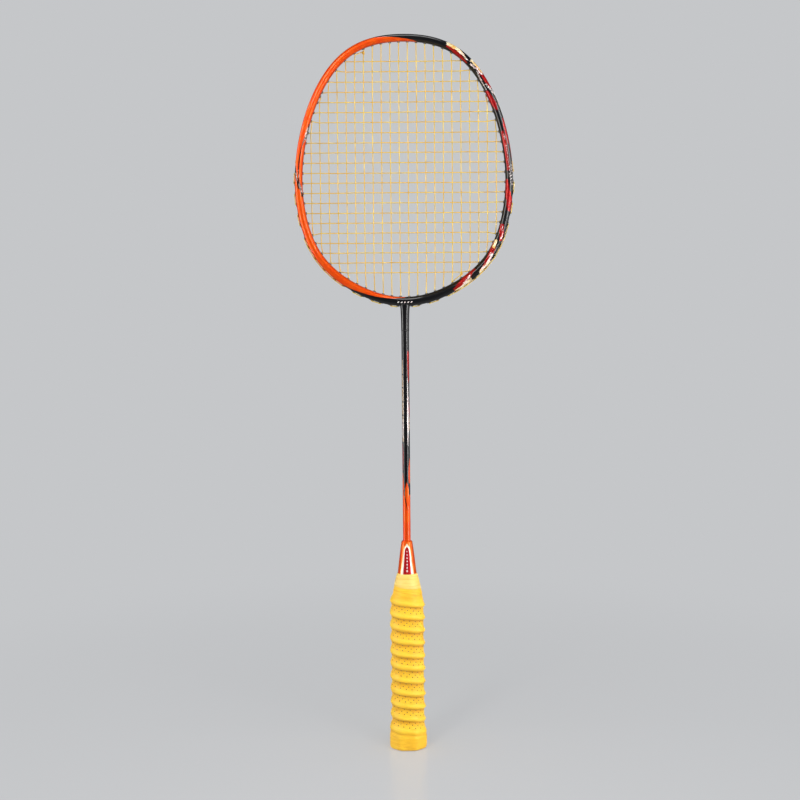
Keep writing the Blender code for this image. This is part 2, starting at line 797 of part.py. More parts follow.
def build_grommet_strip(word, side, number, group):
    """A strip outside the hoop with a bored barrel in each of its holes."""
    flip = np.array([side, 1, 1])
    section = (
        (0.0, -STRIP_HALF),
        (0.0, STRIP_HALF),
        (STRIP_THICK, STRIP_HALF * STRIP_TAPER),
        (STRIP_THICK, -STRIP_HALF * STRIP_TAPER),
    )
    rings = []
    for phi in strip_stations(group):
        out = -float(groove(phi)) + STRIP_GAP
        rings.append([at(phi, out + t, y) * flip for t, y in section])
    label = "%s_%d" % (word, number)
    strip = add_piece("grommets_" + label, rings_mesh(rings), GROMMET_NYLON, 40)
    barrels, bores = [], []
    for n in group:
        inner, outer, axis = hole_line(n, side)
        barrels.append(cylinder(inner, outer - axis * STRIP_THICK * 0.5, GROMMET_R))
        start = inner - axis * BORE_OVERRUN[0]
        end = outer + axis * BORE_OVERRUN[1]
        bores.append(cylinder(start, end, GROMMET_BORE_R))
    boolean(strip, "UNION", "barrels_%s_shape" % label, barrels)
    boolean(strip, "DIFFERENCE", "bores_%s_drills" % label, bores)


def build_grommets():
    for side, word in ((1, "right"), (-1, "left")):
        for number, first in enumerate(range(0, len(HOLES), BARRELS_PER_STRIP), 1):
            group = range(first, min(first + BARRELS_PER_STRIP, len(HOLES)))
            build_grommet_strip(word, side, number, group)


# --------------------------------------------------------------------- string
def crosses_main(i, j):
    """True where main i and cross j meet clear of the hoop and of a shared hole."""
    for end in ("top", "bottom"):
        if frozenset({("cross", j), (end, i)}) in SHARED:
            return False
    x, z = MAIN_X[i], CROSS_Z[j]
    k = int(np.argmin(np.hypot(INNER_EDGE[:, 0] - x, INNER_EDGE[:, 1] - z)))
    clearance = (INNER_EDGE[k] - np.array([x, z])) @ outward(PHI[k])
    return float(clearance) > CROSSING_CLEARANCE


def outside_point(n, side, lane):
    """The string's point outside hole n."""
    _, outer, axis = hole_line(n, side)
    return outer + axis * STRING_OUTSIDE + np.array([0.0, lane, 0.0])


def through(key, side, lane, outwards):
    """The path through a grommet, at a lane across the bore."""
    n = HOLE_OF[key]
    inner, _, axis = hole_line(n, side)
    inside = inner - axis * STRING_INSIDE + np.array([0.0, lane, 0.0])
    points = [inside, outside_point(n, side, lane)]
    return points if outwards else points[::-1]


def round_outside(key_a, key_b, side, lane):
    """Points of an outside run where it passes the holes between two others."""
    a, b = HOLE_OF[key_a], HOLE_OF[key_b]
    step = 1 if b > a else -1
    return [outside_point(n, side, lane) for n in range(a + step, b, step)]


def main_run(i, side):
    """Main i from its lower hole to its upper one, straight past the crosses."""
    met = [j for j in range(CROSSES) if crosses_main(i, j)]
    x = side * MAIN_X[i]
    return (
        through(("bottom", i), side, -LANE, outwards=False)
        + [np.array([x, 0.0, CROSS_Z[met[-1]] - MAIN_OVERRUN])]
        + [np.array([x, 0.0, CROSS_Z[met[0]] + MAIN_OVERRUN])]
        + through(("top", i), side, -LANE, outwards=True)
    )


def half_mains(side):
    """The mains of one half, from the top centre out to the last one's lower hole."""
    points = []
    for i in range(MAINS_HALF):
        downwards = i % 2 == 0
        run = main_run(i, side)
        points += run[::-1] if downwards else run
        if i + 1 < MAINS_HALF:
            end = "bottom" if downwards else "top"
            points += round_outside((end, i), (end, i + 1), side, -LANE)
    return points


def cross_run(j):
    """Cross j from left to right, over and under the mains."""
    entry = through(("cross", j), -1, LANE, outwards=False)
    woven = []
    for side in (-1, 1):
        for i in range(MAINS_HALF):
            if crosses_main(i, j):
                column = MAINS_HALF + i if side > 0 else MAINS_HALF - 1 - i
                woven.append((side * MAIN_X[i], WEAVE if (column + j) % 2 else -WEAVE))
    woven = sorted(woven)
    # hold the end crossings a little longer where the grommet is near
    if abs(entry[-1][0]) - abs(woven[0][0]) < HOLD_REACH:
        first, last = woven[0], woven[-1]
        woven = [(first[0] - HOLD_LENGTH, first[1])] + woven
        woven = woven + [(last[0] + HOLD_LENGTH, last[1])]
    middle = [np.array([x, y, CROSS_Z[j]]) for x, y in woven]
    return entry + middle + through(("cross", j), 1, LANE, outwards=True)


def tail(key, side):
    """A tied end: in through another string's grommet and a little way past it."""
    points = through(key, side, LANE, outwards=False)
    _, _, axis = hole_line(HOLE_OF[key], side)
    return points + [points[-1] - axis * TAIL + np.array([0.0, TAIL_BACK, 0.0])]


def build_string():
    """One length, laced from a tie at the lower right up and down the mains from
    right to left, then outside to the lowest cross, and back and forth up to a
    tie at the upper left."""
    last_main = ("bottom", MAINS_HALF - 1)
    path = tail(LOW_TIE, 1)[::-1]
    path += round_outside(LOW_TIE, last_main, 1, SIDE_LANE)
    path += half_mains(1)[::-1] + half_mains(-1)
    path += round_outside(last_main, ("cross", CROSSES - 1), -1, SIDE_LANE)
    for j in range(CROSSES - 1, -1, -1):
        to_right = j % 2 == 1
        path += cross_run(j) if to_right else cross_run(j)[::-1]
        if j:
            side = 1 if to_right else -1
            path += round_outside(("cross", j), ("cross", j - 1), side, LANE)
    path += round_outside(("cross", 0), HIGH_TIE, -1, LANE) + tail(HIGH_TIE, -1)
    add_piece("string", sweep(path, STRING_SIDE / 2), STRING_NYLON, 60)


# ---------------------------------------------------------------------- build
build_hoop()
build_t_joint()
build_throat()
build_shaft()
build_cone_cap()
build_core()
build_butt_cap()
build_badge()
build_nail("cap_nail_left", -1)
build_nail("cap_nail_right", 1)
build_base_grip()
build_overgrip()
build_finishing_tape()
build_grommets()
build_string()
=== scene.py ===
# A badminton racket standing upright on its butt.  +Z runs up the shaft, the strings lie in
# the XZ plane, -Y is the front and +X is the right as the front is seen.  Lengths are
# millimetres until each mesh is made; the floor, lights and camera are in metres.
import math

import bpy
import numpy as np
from mathutils import Matrix, Vector


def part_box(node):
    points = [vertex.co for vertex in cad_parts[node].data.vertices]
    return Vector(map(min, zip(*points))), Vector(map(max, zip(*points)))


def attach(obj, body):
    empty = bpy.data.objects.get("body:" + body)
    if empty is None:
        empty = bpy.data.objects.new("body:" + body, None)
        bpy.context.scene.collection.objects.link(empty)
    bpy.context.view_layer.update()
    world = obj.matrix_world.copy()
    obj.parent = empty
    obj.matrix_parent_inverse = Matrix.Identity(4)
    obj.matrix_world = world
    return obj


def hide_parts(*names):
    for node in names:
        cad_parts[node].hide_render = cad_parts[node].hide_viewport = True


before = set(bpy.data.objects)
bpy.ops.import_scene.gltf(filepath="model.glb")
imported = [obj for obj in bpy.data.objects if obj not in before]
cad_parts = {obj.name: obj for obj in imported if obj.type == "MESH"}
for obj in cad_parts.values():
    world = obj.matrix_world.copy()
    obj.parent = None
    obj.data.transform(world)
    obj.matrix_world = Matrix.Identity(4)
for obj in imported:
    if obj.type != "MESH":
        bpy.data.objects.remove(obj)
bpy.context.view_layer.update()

MM = 0.001


def cad(node):
    """Lowest and highest corner of a CAD piece in mm."""
    low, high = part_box(node)
    return np.array(low) * 1000, np.array(high) * 1000


# ================================================================ dimensions
HOOP_LO, HOOP_HI = cad("frame_hoop")
SHAFT_LO, SHAFT_HI = cad("shaft")
CONE_LO = cad("cone_cap")[0]
TAPE_HI = cad("finishing_tape")[1]
THROAT_LO = cad("throat")[0]

# Radii of the head's outer edge at equal angles from the top round to the bottom
HEAD_RADII = (125.5, 124.1, 112.7, 103.2, 101.5, 106.7, 116.1, 121.7, 125.5)
HEAD_Z = math.floor(HOOP_LO[2] + HOOP_HI[2]) / 2
HOOP_WIDTH = 7.3  # outer to inner edge at the sides
HALF_Y = 5.4  # half the hoop's depth, front to back
HOOP_SQUARENESS = 2.35  # exponent of the hoop's rounded section
GROOVE_DEPTH = 1.65

MAINS_HALF, MAIN_PITCH = 11, 8.12  # upright strings on each side of the middle
CROSSES, CROSS_TOP_Z, CROSS_PITCH = 22, 650.0, 9.27
STRING_R = 0.44
LANE = 0.45  # mains pass through the holes this far in front, crosses this far behind
SIDE_LANE = -1.30  # long outside runs lie further forward
SHARED_HOLE = 4.2  # a main and a cross ending closer than this share a hole
LAST_HOLE_LEAN = np.array([2.3, 0, 0.1])  # shift of the bottom hole's outer mouth
GROMMET_TIP = 0.8  # how far a grommet stands inside the hoop
GROMMET_FLANGE = 0.45
RIDE = GROMMET_FLANGE + STRING_R + 0.03  # string centre above the groove's floor
MAIN_SWING, CROSS_SWING = 0.28, 0.61  # how far the weave moves each string in Y
WEAVE_STEP = 1.16

SHAFT_R = 3.6
GRIP_PITCH = 12.35  # rise of the grip strip in one turn
GRIP_TURN = 98.5  # length of one turn
GRIP_CREST_Z = 142.6  # a rib crest at the middle of the front
GRIP_FOOT, GRIP_TOP = 3.4, 160.2  # the top is tucked under the tape


# ============================================================= small numerics
def hash01(*integers):
    """Repeatable scatter of integer arrays over 0 to 1."""
    mixed = None
    with np.errstate(over="ignore"):
        for n, value in enumerate(integers):
            word = np.asarray(value).astype(np.int64).astype(np.uint64)
            offset = np.uint64(0xBF58476D1CE4E5B9) * np.uint64(n + 1)
            word = word * np.uint64(0x9E3779B97F4A7C15) + offset
            word ^= word >> np.uint64(30)
            word *= np.uint64(0xBF58476D1CE4E5B9)
            word ^= word >> np.uint64(27)
            if mixed is None:
                mixed = word
            else:
                mixed = (mixed * np.uint64(0x94D049BB133111EB)) ^ word
        mixed = mixed + np.uint64(1469598103934665603)
        mixed ^= mixed >> np.uint64(31)
        mixed *= np.uint64(0x94D049BB133111EB)
        mixed ^= mixed >> np.uint64(29)
    return (mixed >> np.uint64(11)).astype(np.float64) / float(1 << 53)


def smooth(value):
    """Smoothstep from 0 to 1."""
    value = np.clip(value, 0, 1)
    return value * value * (3 - 2 * value)


def bell(offset, width):
    return np.exp(-((offset / width) ** 2))


def noise2(x, y, seed):
    """Smooth value noise from -1 to 1."""
    x, y = np.broadcast_arrays(np.asarray(x, float), np.asarray(y, float))
    i, j = np.floor(x), np.floor(y)
    across, up = smooth(x - i), smooth(y - j)
    low = hash01(i, j, seed) * (1 - across) + hash01(i + 1, j, seed) * across
    high = hash01(i, j + 1, seed) * (1 - across) + hash01(i + 1, j + 1, seed) * across
    return 2 * (low * (1 - up) + high * up) - 1


def fbm2(x, y, seed, octaves=3):
    """Layers of value noise, each half as strong and twice as fine."""
    total, strength, norm = 0.0, 1.0, 0.0
    for octave in range(octaves):
        total = total + strength * noise2(x * 2**octave, y * 2**octave, seed + 17 * octave)
        norm += strength
        strength *= 0.5
    return total / norm


def signed_power(value, power):
    return np.sign(value) * np.abs(value) ** power


def closed(points):
    return np.concatenate([points, points[:1]])


def distance_along(points):
    return np.concatenate([[0], np.cumsum(np.linalg.norm(np.diff(points, axis=0), axis=1))])


# ================================================================ mesh makers
def full_turn(count):
    return np.arange(count) * 2 * np.pi / count


def ring(theta, x_radius, y_radius, z):
    """Points about the Z axis; arrays of angles, radii and heights broadcast together."""
    x = x_radius * np.cos(theta)
    y = y_radius * np.sin(theta)
    return np.stack([x, y, np.broadcast_to(z, x.shape)], -1)


def revolve(profile, sides):
    """Rings of a closed profile of (radius, z), as (sides, len(profile), 3)."""
    profile = np.asarray(profile, float)
    radius = profile[None, :, 0]
    return ring(full_turn(sides)[:, None], radius, radius, profile[None, :, 1])


def grid_faces(rows, columns, closed_rows=True, closed_columns=True):
    """Quads of a grid whose vertex (row, column) has index row * columns + column."""
    row = np.arange(rows if closed_rows else rows - 1)
    column = np.arange(columns if closed_columns else columns - 1)
    row, column = np.meshgrid(row, column, indexing="ij")
    next_row, next_column = (row + 1) % rows, (column + 1) % columns
    corners = ((row, column), (row, next_column), (next_row, next_column), (next_row, column))
    return np.stack([r * columns + c for r, c in corners], -1).reshape(-1, 4)


def grid_uv(u, v):
    """Per-corner UVs for grid_faces; u and v hold one more value than there are cells."""
    u, v = np.asarray(u, float), np.asarray(v, float)
    i, j = np.meshgrid(np.arange(len(u) - 1), np.arange(len(v) - 1), indexing="ij")
    corners = ((i, j), (i, j + 1), (i + 1, j + 1), (i + 1, j))
    return np.stack([np.stack((u[p], v[q]), -1) for p, q in corners], 2).reshape(-1, 4, 2)


def fan(centre, first, second):
    """Triangles from one vertex to pairs of vertices."""
    return np.stack([np.full(len(first), centre), first, second], -1)


def add_mesh(name, verts, faces, material, attributes=None, uv=None, angle=None):
    """A smooth object from vertices in mm and a list of face arrays, turned to face outwards."""
    verts = np.asarray(verts, float)
    volume = 0.0
    for f in faces:
        for k in range(1, f.shape[1] - 1):
            first, second, third = verts[f[:, 0]], verts[f[:, k]], verts[f[:, k + 1]]
            volume += np.einsum("ij,ij->i", first, np.cross(second, third)).sum()
    if volume < 0:
        faces = [f[:, ::-1] for f in faces]
        if uv is not None:
            uv = [u[:, ::-1] for u in uv]
    mesh = bpy.data.meshes.new(name)
    mesh.vertices.add(len(verts))
    mesh.vertices.foreach_set("co", (verts * MM).astype(np.float32).ravel())
    loops = np.concatenate([f.ravel() for f in faces])
    mesh.loops.add(len(loops))
    mesh.loops.foreach_set("vertex_index", loops.astype(np.int32))
    sizes = np.concatenate([np.full(len(f), f.shape[1]) for f in faces])
    starts = np.concatenate([[0], np.cumsum(sizes)[:-1]])
    mesh.polygons.add(len(sizes))
    mesh.polygons.foreach_set("loop_start", starts.astype(np.int32))
    mesh.polygons.foreach_set("use_smooth", np.full(len(sizes), True))
    mesh.update(calc_edges=True)
    if uv is not None:
        flat = np.concatenate([u.reshape(-1, 2) for u in uv])
        layer = mesh.uv_layers.new(name="UVMap")
        layer.data.foreach_set("uv", flat.astype(np.float32).ravel())
    for key, values in (attributes or {}).items():
        attribute = mesh.attributes.new(key, "FLOAT", "POINT")
        attribute.data.foreach_set("value", np.asarray(values, np.float32).ravel())
    if angle is not None:
        mesh.set_sharp_from_angle(angle=math.radians(angle))
    mesh.validate()
    mesh.materials.append(material)
    ob = bpy.data.objects.new(name, mesh)
    bpy.context.scene.collection.objects.link(ob)
    return ob


def add_rings(name, rings, material, attributes=None, uv=None, angle=None):
    """An object from rings (n, m, 3) closed round both ways."""
    faces = [grid_faces(*rings.shape[:2])]
    uv = None if uv is None else [uv]
    return add_mesh(name, rings.reshape(-1, 3), faces, material, attributes, uv, angle)


def add_capped(name, rings, first_z, last_z, material, angle):
    """An object from a list of rings, its first and last closed to a point on the axis."""
    grid = np.stack(rings, 1)
    count, levels, _ = grid.shape
    verts = np.concatenate([grid.reshape(-1, 3), [[0, 0, first_z], [0, 0, last_z]]])
    here = np.arange(count) * levels
    after = np.roll(here, -1)
    faces = [
        grid_faces(count, levels, closed_columns=False),
        fan(len(verts) - 2, here, after),
        fan(len(verts) - 1, after + levels - 1, here + levels - 1),
    ]
    return add_mesh(name, verts, faces, material, angle=angle)


def pad_rings(field, before, after, low=0.0, high=0.0):
    """A field with constant columns added for the rings before and after it."""
    return np.pad(field, ((0, 0), (before, after)), constant_values=((0, 0), (low, high)))


def round_corners(path, radius, steps):
    """A polyline with its corners rounded off."""
    out = [path[0]]
    for before, corner, after in zip(path[:-2], path[1:-1], path[2:]):
        length_in = np.linalg.norm(before - corner)
        length_out = np.linalg.norm(after - corner)
        cosine = float((corner - before) @ (after - corner) / (length_in * length_out))
        if cosine > 0.9995:
            out.append(corner)
            continue
        cut = min(radius, 0.45 * length_in, 0.45 * length_out)
        start = corner + (before - corner) / length_in * cut
        end = corner + (after - corner) / length_out * cut
        for k in range(steps + 1):
            t = k / steps
            out.append((1 - t) ** 2 * start + 2 * t * (1 - t) * corner + t * t * end)
    out.append(path[-1])
    return np.array(out)


def resample(path, step):
    """Points no further apart than step, keeping the path's own points."""
    out = [path[0]]
    for start, end in zip(path[:-1], path[1:]):
        count = max(1, int(math.ceil(np.linalg.norm(end - start) / step)))
        out += [start + (end - start) * (k + 1) / count for k in range(count)]
    out = np.array(out)
    keep = np.concatenate([[True], np.linalg.norm(np.diff(out, axis=0), axis=1) > 0.02])
    return out[keep]


def tube(path, radius, sides):
    """(vertices, faces list, uv list) of a round tube along a path with pointed ends."""
    steps = np.diff(path, axis=0)
    steps /= np.linalg.norm(steps, axis=1, keepdims=True)
    tangent = np.concatenate([steps[:1], steps[:-1] + steps[1:], steps[-1:]])
    tangent /= np.linalg.norm(tangent, axis=1, keepdims=True)
    # carry one normal along the path so that the tube doesn't twist
    normal = np.zeros_like(path)
    carried = np.array([0.0, 1.0, 0.0]) if abs(tangent[0][1]) < 0.9 else np.array([1.0, 0, 0])
    for k in range(len(path)):
        carried = carried - tangent[k] * (carried @ tangent[k])
        carried = carried / np.linalg.norm(carried)
        normal[k] = carried
    binormal = np.cross(tangent, normal)
    theta = full_turn(sides)
    rings = (
        path[:, None]
        + normal[:, None] * (radius * np.cos(theta)[None, :, None])
        + binormal[:, None] * (radius * np.sin(theta)[None, :, None])
    )
    tips = [path[0] - tangent[0] * radius * 0.5, path[-1] + tangent[-1] * radius * 0.5]
    verts = np.concatenate([rings.reshape(-1, 3), tips])
    i = np.arange(sides)
    j = (i + 1) % sides
    last = (len(path) - 1) * sides
    faces = [
        grid_faces(len(path), sides, closed_rows=False),
        fan(len(verts) - 2, j, i),
        fan(len(verts) - 1, last + i, last + j),
    ]
    run = distance_along(path)
    uvs = [
        grid_uv(run, np.arange(sides + 1) / sides),
        np.zeros((sides, 3, 2)),
        np.full((sides, 3, 2), run[-1]),
    ]
    return verts, faces, uvs


# ============================================================ material makers
def put(tree, socket, value):
    """Link a socket, or set its value; colours are given as RGB."""
    if isinstance(value, bpy.types.NodeSocket):
        tree.links.new(value, socket)
    elif socket.type == "RGBA":
        socket.default_value = (*value, 1.0)
    else:
        socket.default_value = value


def add_node(tree, kind, inputs=None, **settings):
    node = tree.nodes.new("ShaderNode" + kind)
    for key, value in settings.items():
        setattr(node, key, value)
    for key, value in (inputs or {}).items():
        put(tree, node.inputs[key], value)
    return node


class Shader:
    """A material with one Principled shader, and shorthand for the nodes that feed it."""

    def __init__(self, name):
        self.material = bpy.data.materials.new(name)
        self.material.use_nodes = True
        self.tree = self.material.node_tree
        self.tree.nodes.clear()
        self.bsdf = self.node("BsdfPrincipled")
        self.out = self.node("OutputMaterial", {"Surface": self.bsdf.outputs[0]})

    def node(self, kind, inputs=None, **settings):
        return add_node(self.tree, kind, inputs, **settings)

    def set(self, **inputs):
        for key, value in inputs.items():
            put(self.tree, self.bsdf.inputs[key.replace("_", " ")], value)

    def math(self, operation, first, second=None):
        inputs = {0: first} if second is None else {0: first, 1: second}
        return self.node("Math", inputs, operation=operation).outputs[0]

    def attr(self, name):
        return self.node("Attribute", attribute_name=name).outputs["Fac"]

    def uv(self):
        return self.node("UVMap", uv_map="UVMap").outputs[0]

    def mapping(self, vector, scale):
        return self.node("Mapping", {"Vector": vector, "Scale": scale}).outputs[0]

    def coords(self, scale=(1, 1, 1)):
        return self.mapping(self.node("TexCoord").outputs["Object"], scale)

    def noise(self, vector, scale, detail=3.0, roughness=0.5, distortion=0.0):
        inputs = {"Vector": vector, "Scale": scale, "Detail": detail}
        inputs |= {"Roughness": roughness, "Distortion": distortion}
        return self.node("TexNoise", inputs).outputs["Fac"]

    def voronoi(self, vector, scale):
        return self.node("TexVoronoi", {"Vector": vector, "Scale": scale}).outputs["Distance"]

    def remap(self, value, to, span=(0.3, 0.7)):
        """Linear map of span onto to; the default span is a noise's middle tones."""
        inputs = {"Value": value, "From Min": span[0], "From Max": span[1]}
        inputs |= {"To Min": to[0], "To Max": to[1]}
        return self.node("MapRange", inputs).outputs["Result"]

    def step(self, value, span):
        """0 at the span's first end, 1 at its second, smooth between."""
        inputs = {"Value": value, "From Min": span[0], "From Max": span[1]}
        return self.node("MapRange", inputs, interpolation_type="SMOOTHSTEP").outputs["Result"]

    def mix(self, factor, first, second):
        # on a Mix node set to RGBA, sockets 6 and 7 are colours A and B, and output 2 the result
        inputs = {0: factor, 6: first, 7: second}
        return self.node("Mix", inputs, data_type="RGBA").outputs[2]

    def cover(self, colour, tone, mask, amount):
        """colour with a share of tone laid over it where mask is 1."""
        return self.mix(self.math("MULTIPLY", mask, amount), colour, tone)

    def bump(self, height, strength, distance, normal=None):
        inputs = {"Strength": strength, "Distance": distance, "Height": height}
        if normal is not None:
            inputs["Normal"] = normal
        return self.node("Bump", inputs).outputs[0]


BLACK = (0.0025, 0.0025, 0.0032)
# how metallic each layer of paint is, by its attribute
METALLIC = {"orange": 0.42, "red": 0.42, "gold": 0.20}


def paint_layers(mat, place, fine, colour, layers, edge, feather, along, speckle):
    """(colour, metallic) of the layers painted over a base colour."""
    brush = mat.mapping(mat.uv(), scale=(1 / along, 1 / 0.75, 1.0))
    streak = mat.noise(brush, scale=1.0, detail=4.0, roughness=0.6, distortion=0.4)
    cloud = mat.noise(place, scale=160.0, roughness=0.55)
    shift = mat.math("MULTIPLY", mat.math("SUBTRACT", streak, 0.5), feather * 4)
    metal = None
    for attribute, tone, other, softness in layers:
        inside = mat.math("ADD", mat.attr(attribute), mat.math("MULTIPLY", shift, softness))
        if attribute == "white":
            speck = mat.noise(place, scale=900.0, detail=2.0, roughness=0.6)
            wear_and_highlight = mat.math("MULTIPLY", mat.step(speck, span=(0.42, 0.60)), speckle)
            inside = mat.math("SUBTRACT", inside, wear_and_highlight)
        cover = mat.step(inside, span=(-edge, edge))
        drift = mat.math("ADD", cloud, mat.math("MULTIPLY", streak, 0.5))
        shade = mat.mix(mat.step(drift, span=(0.62, 0.92)), tone, other)
        brightness = mat.remap(fine, to=(0.92, 1.06))
        shade = mat.node("VectorMath", {0: shade, "Scale": brightness}, operation="SCALE")
        colour = mat.mix(cover, colour, shade.outputs[0])
        shine = mat.math("MULTIPLY", cover, METALLIC.get(attribute, 0.0))
        if metal is None:
            metal = shine
        else:
            below = mat.math("MULTIPLY", metal, mat.math("SUBTRACT", 1.0, cover))
            metal = mat.math("ADD", below, shine)
    return colour, metal


def lacquer(name, layers=(), edge=0.10, feather=0.5, along=6.0, speckle=0.0):
    """Clear-coated paint on black.  Each layer is (attribute holding the distance in mm inside
    its edge, colour, a second colour it drifts to, how far its edge is feathered)."""
    mat = Shader(name)
    place = mat.coords()
    fine = mat.noise(place, scale=2600.0, detail=2.0, roughness=0.6)
    lifted_black = tuple(c * 1.6 + 0.0006 for c in BLACK)
    colour = mat.mix(mat.step(fine, span=(0.45, 0.75)), BLACK, lifted_black)
    flake = mat.voronoi(place, scale=5200.0)
    metallic = mat.math("MULTIPLY", mat.step(flake, span=(0.10, 0.0)), 0.25)
    coat = 0.85
    if layers:
        colour, metal = paint_layers(
            mat, place, fine, colour, layers, edge, feather, along, speckle
        )
        metallic = mat.math("MAXIMUM", metal, metallic)
        coat = mat.remap(metal, span=(0.0, 0.5), to=(0.85, 0.24))
    peel = mat.noise(place, scale=420.0, detail=2.0)
    mat.set(
        Base_Color=colour,
        Metallic=metallic,
        Roughness=mat.remap(fine, to=(0.30, 0.40)),
        Specular_IOR_Level=0.18,
        Coat_Weight=coat,
        Coat_Roughness=0.035,
        Coat_IOR=1.5,
        Normal=mat.bump(peel, strength=0.05, distance=0.0002),
        Coat_Normal=mat.bump(peel, strength=0.02, distance=0.0002),
    )
    return mat.material


def string_material():
    mat = Shader("string_nylon")
    # fine filaments wound at a slant: ten round the string, 0.42 mm apart along it
    split = mat.node("SeparateXYZ", {0: mat.uv()})
    round_it = mat.math("MULTIPLY", split.outputs["Y"], 10.0)
    turn = mat.math("ADD", round_it, mat.math("DIVIDE", split.outputs["X"], 0.42))
    wrap = mat.math("SINE", mat.math("MULTIPLY", turn, 2 * math.pi))
    place = mat.coords()
    tint = mat.noise(place, scale=70.0, detail=2.0)
    grime = mat.noise(place, scale=700.0, roughness=0.6)
    yellow, pale, crest, brown = (
        (0.68, 0.39, 0.012), (0.72, 0.49, 0.04), (0.84, 0.70, 0.24), (0.52, 0.26, 0.02)
    )
    colour = mat.mix(mat.step(tint, span=(0.35, 0.65)), yellow, pale)
    # the wrap's crests are painted paler: a painted highlight
    colour = mat.cover(colour, crest, mat.step(wrap, span=(0.1, 1.0)), amount=0.30)
    colour = mat.cover(colour, brown, mat.step(grime, span=(0.62, 0.82)), amount=0.30)
    mat.set(
        Base_Color=colour,
        Roughness=mat.remap(grime, to=(0.30, 0.45)),
        Subsurface_Weight=0.12,
        Subsurface_Scale=0.0004,
        Subsurface_Radius=(1.0, 0.6, 0.2),
        Coat_Weight=0.35,
        Coat_Roughness=0.2,
        Normal=mat.bump(wrap, strength=0.35, distance=0.00003),
    )
    return mat.material


def grommet_material():
    mat = Shader("grommet_nylon")
    place = mat.coords()
    cloud = mat.noise(place, scale=900.0, roughness=0.55)
    grain = mat.noise(place, scale=2500.0, detail=2.0)
    mat.set(
        Base_Color=mat.mix(cloud, (0.05, 0.052, 0.058), (0.12, 0.12, 0.125)),
        Roughness=mat.remap(cloud, to=(0.32, 0.5)),
        Subsurface_Weight=0.15,
        Subsurface_Scale=0.0005,
        Normal=mat.bump(grain, strength=0.15, distance=0.00005),
    )
    return mat.material


def grip_material(name, light, deep, pores=True):
    """Tacky foamed polyurethane: fine grain, creases darkened with painted shade, crests painted
    paler as a highlight and shinier.
    """
    mat = Shader(name)
    place = mat.coords()
    height = mat.attr("height")  # mm above the plain surface
    blotch = mat.noise(place, scale=55.0, detail=4.0, roughness=0.55)
    grain = mat.noise(place, scale=2400.0, roughness=0.6)
    cells = mat.voronoi(place, scale=1500.0)
    pits = mat.step(mat.voronoi(place, scale=1150.0), span=(0.16, 0.02))
    amber = tuple(c * s for c, s in zip(light, (0.95, 0.86, 0.62)))
    wear_and_highlight = tuple(min(1.0, c * s) for c, s in zip(light, (1.04, 1.12, 1.5)))
    colour = mat.mix(mat.step(blotch, span=(0.3, 0.7)), light, amber)
    # the raised crests are painted paler: a painted highlight
    colour = mat.cover(colour, wear_and_highlight, mat.step(height, span=(0.45, 1.15)), amount=0.55)
    # the crease attribute carries painted shade for the creases, seams and rib undersides
    colour = mat.cover(colour, deep, mat.attr("crease"), amount=0.85)
    colour = mat.cover(colour, deep, mat.step(grain, span=(0.58, 0.80)), amount=0.28)
    colour = mat.cover(colour, deep, pits, amount=0.40 if pores else 0.12)
    bump = mat.bump(grain, strength=0.30, distance=0.00008)
    bump = mat.bump(cells, strength=0.22, distance=0.00006, normal=bump)
    if pores:
        hole = mat.attr("hole")  # mm inside a perforation
        colour = mat.cover(colour, deep, mat.step(hole, span=(-0.45, -0.05)), amount=0.35)
        colour = mat.mix(mat.step(hole, span=(-0.15, 0.05)), colour, (0.10, 0.035, 0.004))
        floor = mat.math("SUBTRACT", 1.0, mat.step(hole, span=(-0.10, 0.12)))
        bump = mat.bump(floor, strength=0.8, distance=0.0004, normal=bump)
    dullness = mat.math("ADD", grain, mat.math("MULTIPLY", height, -0.18))
    mat.set(
        Base_Color=colour,
        Roughness=mat.remap(dullness, span=(0.2, 0.8), to=(0.46, 0.66)),
        Subsurface_Weight=0.18,
        Subsurface_Scale=0.0012,
        Subsurface_Radius=(1.0, 0.55, 0.15),
        Sheen_Weight=0.10,
        Sheen_Roughness=0.5,
        Specular_IOR_Level=0.42,
        Normal=bump,
    )
    return mat.material


def wood_material():
    mat = Shader("handle_wood")
    rings = mat.node(
        "TexWave",
        {"Vector": mat.coords((1.0, 1.0, 0.06)), "Scale": 260.0, "Distortion": 6.0},
        wave_type="RINGS",
    ).outputs["Fac"]
    fibre = mat.noise(mat.coords((1, 1, 0.02)), scale=1800.0, detail=4.0, roughness=0.6)
    colour = mat.mix(rings, (0.52, 0.36, 0.20), (0.68, 0.52, 0.32))
    mat.set(
        Base_Color=mat.cover(colour, (0.36, 0.23, 0.11), fibre, amount=0.35),
        Roughness=mat.remap(fibre, to=(0.55, 0.75)),
        Normal=mat.bump(fibre, strength=0.3, distance=0.0001),
    )
    return mat.material


def plain_material(name, dark, pale, rough=(0.38, 0.55), metal=0.0):
    """Moulded plastic or bare metal with a fine grain."""
    mat = Shader(name)
    place = mat.coords()
    grain = mat.noise(place, scale=1800.0, roughness=0.6)
    cloud = mat.noise(place, scale=1800.0 / 14, detail=2.0)
    mat.set(
        Base_Color=mat.mix(cloud, dark, pale),
        Metallic=metal,
        Roughness=mat.remap(grain, to=rough),
        Normal=mat.bump(grain, strength=0.2, distance=0.00005),
    )
    return mat.material


def foam_material():
    mat = Shader("base_grip_pu")
    place = mat.coords()
    cells = mat.voronoi(place, scale=1400.0)
    cloud = mat.noise(place, scale=120.0)
    mat.set(
        Base_Color=mat.mix(cloud, (0.035, 0.035, 0.038), (0.07, 0.07, 0.074)),
        Roughness=mat.remap(cells, span=(0.0, 0.6), to=(0.6, 0.85)),
        Normal=mat.bump(cells, strength=0.4, distance=0.0001),
    )
    return mat.material


